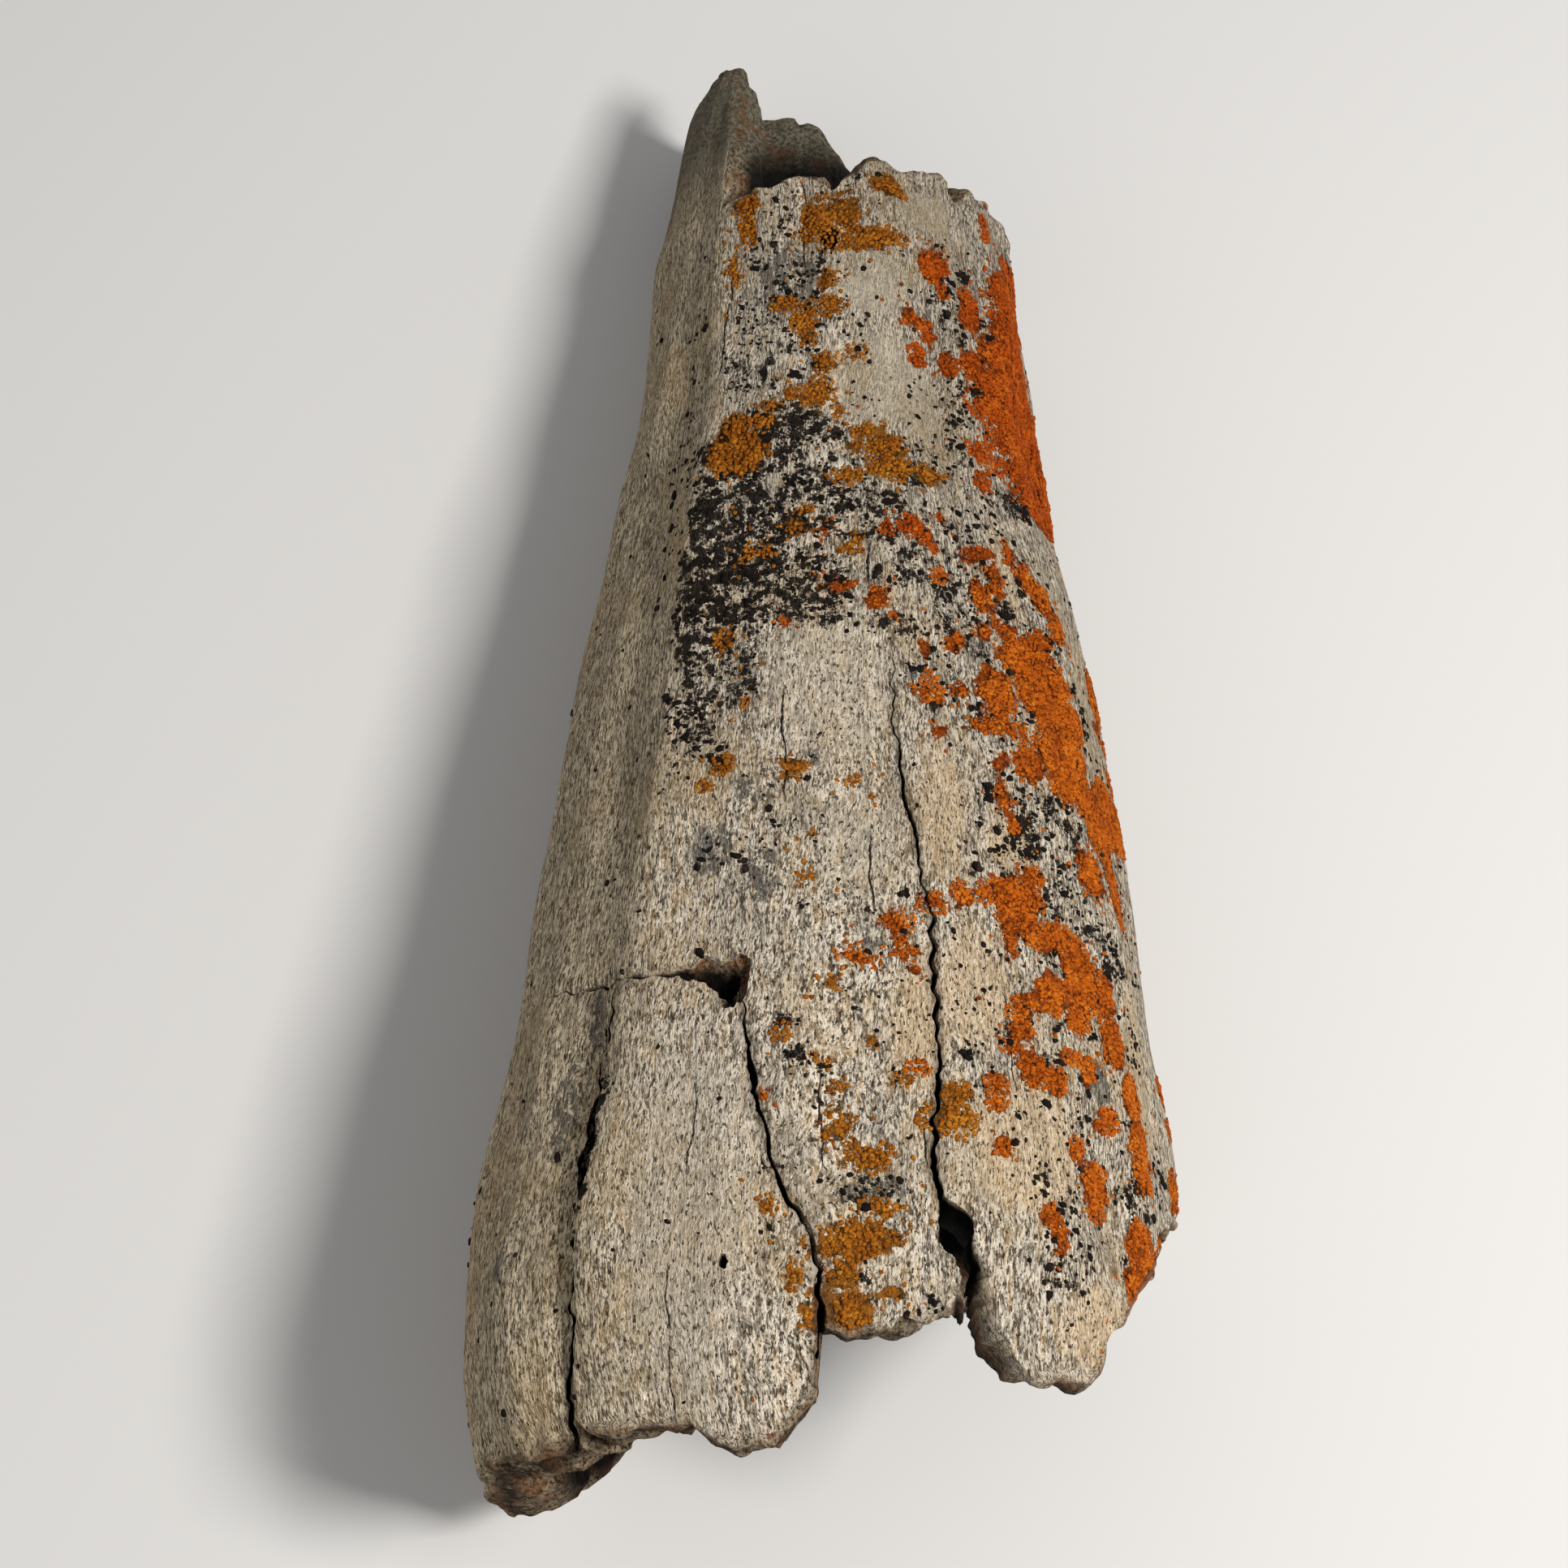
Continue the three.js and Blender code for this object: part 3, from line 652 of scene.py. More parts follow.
class Wire:
    """A socket of a finish, on which the signs + - * / add Math nodes."""

    def __init__(self, finish, socket):
        self.finish, self.socket = finish, socket

    def math(self, operation, *values):
        """The result of one Math node on values or wires."""
        return self.finish.node("Math", dict(enumerate(values)), {"operation": operation})

    def __add__(self, other):
        return self.math("ADD", self, other)

    def __sub__(self, other):
        return self.math("SUBTRACT", self, other)

    def __mul__(self, other):
        return self.math("MULTIPLY", self, other)

    def __truediv__(self, other):
        return self.math("DIVIDE", self, other)

    def __radd__(self, other):
        return self.math("ADD", other, self)

    def __rsub__(self, other):
        return self.math("SUBTRACT", other, self)

    def __rmul__(self, other):
        return self.math("MULTIPLY", other, self)

    def __rtruediv__(self, other):
        return self.math("DIVIDE", other, self)


class Finish:
    """A material in the making. node() adds any node; the rest are short names for the ones used most."""

    def __init__(self, name):
        self.material = bpy.data.materials.new(name)
        self.material.use_nodes = True
        self.tree = self.material.node_tree
        self.shader = self.tree.nodes["Principled BSDF"]

    def feed(self, socket, value):
        """Links a wire to a socket, or sets the socket to a value."""
        if isinstance(value, Wire):
            self.tree.links.new(value.socket, socket)
        else:
            socket.default_value = value

    def node(self, kind, inputs, settings=None, output=0):
        """Adds a node: first its settings, then what its sockets take. Gives one of its outputs."""
        node = self.tree.nodes.new("ShaderNode" + kind)
        for key, value in (settings or {}).items():
            setattr(node, key, value)
        for key, value in inputs.items():
            self.feed(node.inputs[key], value)
        return Wire(self, node.outputs[output])

    def reads(self, name, vector=False):
        """A number, or a vector, that is stored on the mesh."""
        return self.node("Attribute", {}, {"attribute_name": name}, "Vector" if vector else "Fac")

    def place(self):
        """The place in the object, in millimetres."""
        here = self.node("TexCoord", {}, {}, "Object")
        return self.scaled(here, 1 / MM, 1 / MM, 1 / MM)

    def scaled(self, vector, x, y, z):
        """A vector or colour times three factors."""
        return self.node("VectorMath", {0: vector, 1: (x, y, z)}, {"operation": "MULTIPLY"})

    def noise(self, vector, detail, roughness, scale=None, output="Fac"):
        """Cloudy noise from 0 to 1; scale is its three sizes as factors, one of them for all alike."""
        if scale:
            vector = self.scaled(vector, *(scale if isinstance(scale, tuple) else (scale,) * 3))
        values = {"Vector": vector, "Scale": 1.0, "Detail": detail, "Roughness": roughness}
        return self.node("TexNoise", values, {}, output)

    def rise(self, value, low, high):
        """0 below low, 1 above high and an S-shaped rise in between."""
        values = {"Value": value, "From Min": low, "From Max": high}
        return self.node("MapRange", values, {"interpolation_type": "SMOOTHSTEP"})

    def blend(self, share, first, second):
        """The first colour where the share is 0, the second where it is 1."""
        return self.node("Mix", {0: share, 6: first, 7: second}, {"data_type": "RGBA"}, 2)

    def bump(self, height, distance):
        """Leans the shading by a height; distance is how far a height of 1 stands out, in metres."""
        values = {"Height": height, "Distance": distance, "Strength": 1.0}
        self.feed(self.shader.inputs["Normal"], self.node("Bump", values))


def paint(red, green, blue):
    """A colour given as 0 to 255, made linear for the shader."""
    share = np.array([red, green, blue]) / 255
    linear = np.where(share <= 0.04045, share / 12.92, ((share + 0.055) / 1.055) ** 2.4)
    return (*linear.tolist(), 1.0)


def fossil_bone():
    """Grey-cream bone: pale raised fibres, partly a painted highlight, with dark open slits between them,
    stained along its cracks, and with painted shade in its clefts and hollows.
    """
    f = Finish("fossil_bone")
    grain, place = f.reads("grain", vector=True), f.place()
    broken, left = f.reads("broken"), f.reads("left_face")
    drift = f.noise(grain, 1, 0.5, (0.35, 0.18, 0.35), "Color")
    wavy = f.node("VectorMath", {0: drift, 1: (0.8, 0.8, 0.8), 2: grain}, {"operation": "MULTIPLY_ADD"})
    fibres = f.noise(wavy, 3, 0.62, (2.3, 0.42, 2.3))
    threads = f.noise(wavy, 3, 0.65, (5.0, 1.1, 5.0))
    openings = f.noise(wavy, 2, 0.62, (4.0, 1.0, 4.0))
    slits = 1 - f.rise(openings, 0.345, 0.42)
    relief = 0.5 * fibres + 0.5 * threads
    bone = f.blend(f.rise(relief, 0.41, 0.57), paint(84, 71, 55), paint(228, 214, 191))
    golden = f.noise(grain, 3, 0.6, (1.1, 0.16, 1.1))
    bone = f.blend((0.42 - 0.2 * left) * f.rise(golden, 0.5, 0.64), bone, paint(194, 160, 112))
    bone = f.blend(0.5 * (1 - f.rise(golden, 0.34, 0.46)), bone, paint(112, 98, 78))
    patches = f.noise(grain, 3, 0.55, (0.09, 0.05, 0.09))
    bone = f.blend(0.42 * f.rise(patches, 0.48, 0.66), bone, paint(176, 150, 110))
    greys = f.noise(grain, 5, 0.68, (0.24, 0.08, 0.24))
    bone = f.blend(0.4 * f.rise(greys, 0.52, 0.66), bone, paint(118, 110, 98))
    bone = f.blend(0.4 * f.reads("pale"), bone, paint(200, 186, 164))
    bone = f.blend(0.5 * f.reads("tan"), bone, paint(214, 182, 138))
    # The left face turns browner and a little darker: partly its own tone, partly painted shade on the side
    # away from the key light.
    bone = f.blend(left, bone, f.scaled(bone, 0.97, 0.92, 0.8))
    # Painted highlight: the tops of the raised threads are whitened, on top of the bone's own pale fibres.
    bone = f.blend(0.5 * f.rise(threads, 0.56, 0.66), bone, paint(240, 229, 208))
    bone = f.blend(0.88 * slits, bone, paint(44, 34, 24))
    smooth = 0.6 * f.reads("smooth")
    polished = f.blend(f.rise(patches, 0.4, 0.6), paint(206, 192, 166), paint(186, 168, 138))
    bone = f.blend(smooth, bone, polished)
    haze = f.noise(grain, 4, 0.75, (0.7, 0.5, 0.7))
    haze = f.rise(haze - 0.7 + 0.28 * f.reads("grey_haze"), 0.0, 0.08)
    bone = f.blend(0.7 * haze, bone, paint(74, 72, 68))
    edge = f.noise(grain, 5, 0.7, (0.5, 0.42, 0.5))
    colour = f.noise(place, 3, 0.7)
    orange = f.rise(f.reads("orange") + 6.5 * edge - 3.2, -0.1, 0.25) * (1 - broken)
    ochre = f.rise(f.reads("ochre") + 6.5 * edge - 3.2, -0.1, 0.25) * (1 - broken)
    bone = f.blend(orange, bone, f.blend(f.rise(colour, 0.36, 0.6), paint(74, 34, 10), paint(158, 70, 12)))
    bone = f.blend(ochre, bone, f.blend(f.rise(colour, 0.36, 0.6), paint(70, 46, 18), paint(150, 92, 26)))
    soot = f.noise(wavy, 6, 0.8, (0.6, 0.5, 0.6))
    black = f.rise(soot - 0.7 + 0.28 * f.reads("black"), 0.0, 0.015) * (1 - broken)
    bone = f.blend(0.97 * black, bone, f.blend(f.rise(threads, 0.4, 0.62), paint(7, 5, 4), paint(34, 26, 19)))
    bone = f.blend(0.55 * f.reads("crack_dirt"), bone, paint(72, 56, 40))
    aside = f.reads("hair_side") + 0.5 * threads - 0.25
    width = 0.03 + 0.17 * f.noise(grain, 2, 0.5, 0.3)
    off_line = f.node("Math", {0: aside / width}, {"operation": "ABSOLUTE"})
    hairline = 1 - f.rise(off_line, 0.6, 1.3)
    hairline = hairline * f.reads("hair_beside") * (1 - broken) * f.rise(greys, 0.3, 0.45)
    bone = f.blend(0.97 * hairline, bone, paint(16, 12, 9))
    grit = f.noise(place, 4, 0.7, 1.3)
    inside = f.blend(f.rise(grit, 0.38, 0.62), paint(60, 47, 34), paint(172, 152, 122))
    rust = f.noise(place, 4, 0.6, 0.2)
    inside = f.blend(0.65 * f.rise(rust, 0.46, 0.6), inside, paint(116, 70, 38))
    # Painted shade: a dark band on the break face just under the overhanging edge of the skin, broken up by
    # the rust noise.
    inside = f.blend(0.85 * f.reads("shade_under_edge") * f.rise(rust, 0.3, 0.46), inside, paint(38, 28, 19))
    # Painted shade, near black, in the clefts and deep in the hollow and the pocket.
    inside = f.blend(0.985 * f.reads("dark"), inside, paint(8, 6, 4))
    bone = f.blend(broken, bone, inside)
    end = f.blend(f.rise(grit, 0.34, 0.66), paint(70, 64, 52), paint(132, 124, 104))
    end = f.blend(0.6 * f.rise(rust, 0.52, 0.64), end, paint(112, 76, 42))
    # Painted shade, near black, in the tongue's clefts and in the pocket behind the rim.
    end = f.blend(0.97 * f.reads("dark"), end, paint(10, 8, 6))
    bone = f.blend(0.9 * f.reads("tongue"), bone, end)
    f.feed(f.shader.inputs["Base Color"], bone)
    f.shader.inputs["Roughness"].default_value = 0.9
    f.shader.inputs["Specular IOR Level"].default_value = 0.1
    skin_height = (0.7 * fibres + 0.6 * threads - 0.4 * slits) * (1 - 0.3 * left) - 0.6 * hairline
    f.bump(skin_height * (1 - broken) + 1.3 * grit * broken, 0.00095)
    return f.material


bone.data.materials.clear()
bone.data.materials.append(fossil_bone())
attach(bone, "root")
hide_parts("horn")

# THE ORANGE LICHENS. Flat crusts of small rounded lobes that grow in ragged colonies glued to the bone, red-
# orange on the sunny right-hand side and more yellow on the crest.


def scattered(count, low, high, seed):
    """Colonies strewn over a stretch of angles in clumps, most of them small: their sizes are lognormal."""
    draw = np.random.RandomState(seed)
    clump = draw.uniform([low, -70], [high, 95], (6, 2))
    spot = clump[draw.randint(0, 6, count)] + draw.normal(0, [7, 11], (count, 2))
    size = np.clip(draw.lognormal(0.25, 0.55, count), 0.6, 4.5)
    return [(a, y, 1.5 * s, s * k) for (a, y), s, k in zip(spot, size, draw.uniform(0.7, 1.5, count))
            if -72 < y < 98]


# Colonies: angle, station, half of the width round the horn in degrees, half of the length along it.
ORANGE_COLONIES = [
    # the slender end
    (39, 99, 2, 2), (24, 86, 19, 5.5), (24, 78, 20, 6), (28, 72, 24, 5), (28, 66, 27, 5), (28, 61, 26, 4),
    (24, 56, 22, 4.5), (22, 50, 22, 5), (27, 46, 14, 4), (52, 52, 4, 1.8), (52, 46, 3, 1.8), (46, 62, 4, 3),
    (50.5, 79.5, 4, 4.5), (64, 87.5, 5.5, 3.2), (61.5, 82, 1.7, 1.4), (72, 75.8, 4.5, 1.8),
    (65.5, 73, 1.8, 2), (68, 75, 3, 1.2), (61, 67.5, 3, 2.3), (70, 69, 3, 1.6), (18, 94, 14, 3),
    (52, 69, 5, 2.5),
    # the middle of the right-hand side
    (60.5, 31.5, 4.5, 1.5), (56, 26.5, 2.3, 3), (59.5, 23.5, 3.2, 3), (57, 19.5, 1.3, 1.2),
    (49.5, 32, 2, 2.5), (46, 28.5, 3.2, 3), (42, 25.5, 4, 3.5), (39, 20.5, 3.5, 3), (71, 26, 1.6, 1.4),
    (68.3, 14.5, 2.3, 2.3), (75.3, 12.5, 1, 1), (75, 8.7, 1, 1), (76, 4.8, 1.2, 1), (73, 5, 1.3, 1),
    (73.3, -1.7, 1.3, 1.3), (68, 5.3, 1.7, 1), (60.5, 17, 1.8, 1.8), (54, 17.5, 3, 1.8), (46, 16.5, 2.6, 2),
    (51, 13, 7, 4), (47, 8, 8, 5), (43, 3, 8, 5), (61, -0.3, 5, 1.5), (54, -6, 4, 3.5), (43, -3.5, 9, 5),
    (38, -8, 10, 3.5), (28, -10.5, 12, 3.5), (33, -14, 5, 3.5), (20, -8, 12, 6), (60.8, -6.5, 2.5, 1.3),
    (61, -12.5, 1.8, 2.8), (59, -16, 1.6, 2.5), (39, -22, 4.5, 4), (27, -22, 5, 7), (56, -25, 3.5, 1.5),
    (90.2, 24, 3, 1.6), (84.8, 21.5, 2.1, 2.1), (81.5, 17.5, 1.5, 0.8), (82.7, 33.8, 1, 0.9),
    (92.2, 33.6, 1.1, 1), (99.5, 17, 1, 0.9), (68.5, 37.5, 1.6, 1.2), (76, 34.5, 3.2, 2), (72.5, 33, 2, 2),
    # the wide end
    (71, -29.5, 2.3, 1.7), (76.5, -31, 2.3, 1.4), (61, -28.5, 7, 2.8), (60, -32, 4.5, 3),
    (62, -35.5, 1.7, 3), (55.5, -35.5, 3.5, 2), (51, -34.5, 4, 2.2), (46, -40, 4.8, 6),
    (56.5, -46, 4.5, 1.4), (48.5, -47.5, 2.8, 2.5), (39, -42.5, 2.7, 4), (61.3, -49.5, 2.2, 3.3),
    (63, -53.5, 2.2, 1.3), (60, -56.5, 2.7, 2.6), (56, -58, 3.5, 2), (49, -54, 4.5, 1.2),
    (47.5, -56.3, 1.6, 1.5), (38.5, -49.5, 3.5, 4.5), (33, -57.5, 4.5, 4.5), (31, -64, 5, 4),
    (31.5, -69, 4, 3.2), (42.5, -61.5, 2.5, 1.8), (45, -63.3, 2, 1), (67.5, -59.5, 1.7, 1.6),
    (67.3, -62.5, 1.8, 1.2), (67, -69, 1.7, 1.3), (50.5, -68, 2.2, 2), (46.5, -72.5, 4, 4),
    (46.5, -75.5, 2.5, 2), (58.3, -79, 1.9, 2), (57, -81.8, 1.4, 2), (34.5, -79.5, 4, 3.5),
    (20, -78.5, 6, 3.5), (36, -86.5, 4.5, 4), (39.8, -91.5, 1.8, 2.2), (29, -83, 6, 3.5),
    (46.8, -97.3, 1.1, 1), (83.3, -34.8, 1.9, 1.7), (82.5, -38, 1, 0.8), (82, -40, 1.6, 1),
    (89, -40, 1.1, 1), (80, -43, 1.1, 0.8), (87.2, -41.3, 1.1, 0.7), (80.2, -57.8, 1.3, 0.7),
    (98.5, -62.3, 1.1, 0.9), (96.5, -112, 1.6, 1.6), (60, 6, 4.5, 5), (53.5, -43.5, 4, 3),
]
ORANGE_COLONIES += scattered(70, -22, 22, 51) + scattered(14, 192, 235, 52)
OCHRE_COLONIES = [
    (79, 102.5, 4.5, 2.2), (76, 100.5, 2.2, 1), (95, 96, 4.5, 4.5), (89, 97, 3, 4.5), (83, 91, 8, 2.2),
    (98.5, 92, 2.5, 1.6), (116, 99.5, 4.5, 2.5), (115, 95, 2.5, 3.5), (119, 86, 2, 3.5), (93, 82.5, 2, 2.2),
    (92.5, 78, 2.2, 2.2), (102.5, 78.3, 4, 1.3), (98, 74.5, 3, 2.6), (97, 71.5, 2, 1.5),
    (93, 66.5, 2.4, 1.5), (87.5, 68, 1.2, 1), (94.5, 60, 3.2, 3), (100.5, 60.5, 1.8, 1.2),
    (104, 57.5, 2, 1.3), (105.5, 54.3, 2.5, 1.5), (90, 56.6, 1.1, 1), (84.5, 53.3, 4, 1.3),
    (80.5, 50, 5, 3), (80, 45.5, 5, 2.5), (71.5, 45, 4.5, 1.8), (89, 44, 2.3, 1.4), (87, 50.3, 2, 1.2),
    (112, 49, 8, 4.5), (113.5, 53.5, 4, 3), (98, 34.8, 3, 2), (96.5, 37.8, 2.5, 1), (88.8, 31.3, 1.6, 1.8),
    (107.7, 29.5, 1.4, 1.8), (104, 30.5, 1, 1.4), (110.8, 15, 1.9, 2), (105.3, 2.5, 0.8, 1),
    (109.2, -8, 1.7, 1.2), (97.7, -8.7, 2.7, 1.7), (112.7, -11, 1.2, 1), (89, -10.7, 0.8, 0.7),
    (86.6, -13.5, 0.7, 0.7), (93.5, -20, 0.6, 0.6), (94.7, -27.5, 0.8, 0.9), (90.7, -45, 0.7, 1.2),
    (96.8, -52.6, 1, 1), (86.3, -54, 0.8, 1.1), (91.8, -56.5, 0.9, 0.7), (82, -59.5, 0.7, 0.6),
    (90.2, -60.5, 0.8, 0.9), (73.7, -61.8, 2.1, 1.6), (75, -65.5, 3.6, 2), (90, -66, 1.2, 1.8),
    (86.2, -71.3, 2.8, 1.8), (88.6, -69.3, 1.2, 1.3), (84.3, -78.7, 2.2, 1), (87, -83.5, 4.8, 2.7),
    (89, -88, 1.8, 1.8), (89.5, -94, 3.8, 3.7), (83.8, -91, 1.5, 1), (93.5, -89, 0.8, 1.3),
    (96.7, -78.5, 0.7, 0.7), (79.3, -97.5, 1, 1),
]
# Lobes: millimetres between them, sides, and the outline of one as radius and height. No lobes grow on the
# long splinter: the angle of its middle, and half of its width in degrees.
LOBE_SPACING = 0.66
LOBE_SIDES = 6
TONGUE_MIDDLE = 212
TONGUE_HALF = 93
LOBE_OUTLINE = [(0.0, 1.0), (0.78, 0.7), (1.0, -0.5), (0.0, -0.6)]


def spread_places(spacing, seed):
    """Places all over the outside, about one spacing apart: a staggered net with each knot moved a little."""
    draw = np.random.RandomState(seed)
    rows = np.arange(-114, 142, spacing * 0.87)
    places = []
    for number, y in enumerate(rows):
        girth = np.pi * (curve(RIGHT_SIDE, y) - curve(LEFT_SIDE, y))
        count = int(girth / spacing)
        angle = (np.arange(count) + 0.5 * (number % 2)) * 360 / count
        places.append(np.stack([angle, np.full(count, y)], -1))
    places = np.concatenate(places)
    shake = draw.uniform(-0.36, 0.36, places.shape) * spacing
    shake[:, 0] /= np.radians(1) * GRAIN_RADIUS
    angle, y = (places + shake).T
    margin = 0.6
    start = break_face(angle, np.zeros(len(angle)), HOLLOW)[:, 1] + margin
    stop = break_face(angle, np.zeros(len(angle)), POCKET)[:, 1] - margin
    clear = line_distance(angle, y, crack_lines()) > 0.3
    worn_tongue = (y > 100) & (np.abs(apart(angle, TONGUE_MIDDLE)) < TONGUE_HALF)
    keep = (y > start) & (y < stop) & clear & (skin(angle, y)[:, 2] > 1.5) & ~worn_tongue
    return angle[keep], y[keep]


def lobes(name, angle, y, width, height, seed):
    """Many small low domes in one mesh: one outline turned round, made uneven, and set on the skin."""
    draw = np.random.RandomState(seed)
    count = len(angle)
    turn = 2 * np.pi * np.arange(LOBE_SIDES) / LOBE_SIDES
    rings = [(r * np.cos(t), r * np.sin(t), h) for r, h in LOBE_OUTLINE[1:-1] for t in turn]
    dome = np.array([(0, 0, LOBE_OUTLINE[0][1])] + rings + [(0, 0, LOBE_OUTLINE[-1][1])])
    points = dome[None] * draw.uniform(0.66, 1.34, (count, len(dome), 1))
    stretch = draw.uniform(0.8, 1.3, count)
    points = points * np.stack([width * stretch, width / stretch, 2 * height], -1)[:, None] * 0.5
    up = outward(angle, y)
    spin = draw.uniform(0, 2 * np.pi, count)
    first = np.cross(up, [0, 1.0, 0])
    first /= np.linalg.norm(first, axis=-1, keepdims=True)
    second = np.cross(up, first)
    c, s = np.cos(spin)[:, None], np.sin(spin)[:, None]
    first, second = first * c + second * s, second * c - first * s
    base = skin(angle, y) + up * weathering(angle, y)[:, None]
    placed = base[:, None] + (points[..., :1] * first[:, None] + points[..., 1:2] * second[:, None]
                              + points[..., 2:] * up[:, None])
    side = np.arange(LOBE_SIDES)
    after = (side + 1) % LOBE_SIDES
    last = len(dome) - 1
    low = last - LOBE_SIDES
    faces = [np.stack([np.zeros_like(side), 1 + side, 1 + after], -1),
             np.stack([np.full_like(side, last), low + after, low + side], -1)]
    for ring in range(len(LOBE_OUTLINE) - 3):
        a = 1 + ring * LOBE_SIDES
        b = a + LOBE_SIDES
        faces.append(np.stack([a + side, b + side, b + after], -1))
        faces.append(np.stack([a + side, b + after, a + after], -1))
    faces = np.concatenate(faces)
    faces = (faces[None] + len(dome) * np.arange(count)[:, None, None]).reshape(-1, 3)
    thing = mesh_object(name, placed.reshape(-1, 3), faces)
    thing.data.polygons.foreach_set("use_smooth", np.ones(len(thing.data.polygons), bool))
    write_attribute(thing, "tone", np.repeat(draw.uniform(0, 1, count), len(dome)))
    write_attribute(thing, "crown", np.tile(np.clip(dome[:, 2], 0, 1), count))
    print(name, "lobes", count, "triangles", len(faces))
    return thing


def crust(name, shade, middle_tone, pale_tone, deep):
    """Lichen crust: mottled in small flecks, with dark specks, and painted shade low down between
    neighbouring lobes.
    """
    f = Finish(name)
    tone, crown, place = f.reads("tone"), f.reads("crown"), f.place()
    fleck = f.noise(place, 3, 0.7, 1.1)
    broad = f.noise(place, 2, 0.5, 0.25)
    value = 0.5 * fleck + 0.35 * broad + 0.12 * tone
    body = f.blend(f.rise(value, 0.34, 0.5), shade, middle_tone)
    body = f.blend(0.8 * f.rise(value, 0.5, 0.62), body, pale_tone)
    # Painted shade: the low sides of each lobe, between its neighbours, take the deep tone.
    body = f.blend(0.85 * (1 - f.rise(crown, 0.05, 0.75)), body, deep)
    specks = f.noise(place, 3, 0.7, 1.6)
    body = f.blend(0.85 * f.rise(specks, 0.57, 0.64), body, deep)
    f.feed(f.shader.inputs["Base Color"], body)
    f.shader.inputs["Roughness"].default_value = 0.88
    f.shader.inputs["Specular IOR Level"].default_value = 0.1
    f.bump(specks + 0.5 * fleck, 0.0006)
    return f.material


everywhere = spread_places(LOBE_SPACING, 31)
fringe = np.random.RandomState(33).uniform(0, 1, len(everywhere[0]))
ragged = sum(height * lumps(along_grain(*everywhere), (size, size, size), 21 + number)
             for number, (height, size) in enumerate([(1.0, 1.3), (1.4, 3.0), (1.2, 6.5)]))
# Tones of each crust: dark, middle and pale mottling, then a deep tone for dark specks and for the painted
# shade low between lobes.
RED_ORANGE = (paint(122, 48, 4), paint(172, 72, 5), paint(200, 104, 20), paint(62, 26, 8))
ORANGE = (paint(128, 56, 8), paint(184, 88, 10), paint(214, 124, 34), paint(66, 30, 8))
OCHRE = (paint(112, 62, 14), paint(162, 92, 16), paint(194, 128, 38), paint(58, 34, 12))
for name, field, colonies, tones, low, high, seed in [
    ("orange_lichen_slender_end", "orange", ORANGE_COLONIES, RED_ORANGE, 30, 150, 41),
    ("orange_lichen_wide_end", "orange", ORANGE_COLONIES, ORANGE, -150, 30, 42),
    ("ochre_lichen", "ochre", OCHRE_COLONIES, OCHRE, -150, 150, 43),
]:
    angle, y = everywhere
    inside = reach_inside(angle, y, colonies)
    rough = np.minimum(inside, 2.0) + 1.25 * ragged * np.clip((inside + 2.5) / 3, 0.15, 1)
    outliers = fringe < 0.12 * np.exp(inside / 0.9)
    held = ((rough > 0) | outliers) & (y > low) & (y <= high)
    draw = np.random.RandomState(seed)
    size = (0.66 + 0.22 * rising(inside[held], 0, 2.0)) * draw.uniform(0.75, 1.3, held.sum())
    colony = lobes(name, angle[held], y[held], size * 1.1, size * draw.uniform(0.16, 0.4, len(size)), seed)
    colony.data.materials.append(crust(name, *tones))
    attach(colony, "root")
    if name != "orange_lichen_wide_end":  # the bone needs each colour's stain only once
        write_attribute(bone, field, np.clip(reach_inside(bone_angle, bone_y, colonies), -4, 2.2))

# THE BLACK LICHEN. Small black scales and fruiting dots, from half a millimetre to two across, thick on the
# left of the crest and thin elsewhere. The thinnest growth is only a stain in the bone.

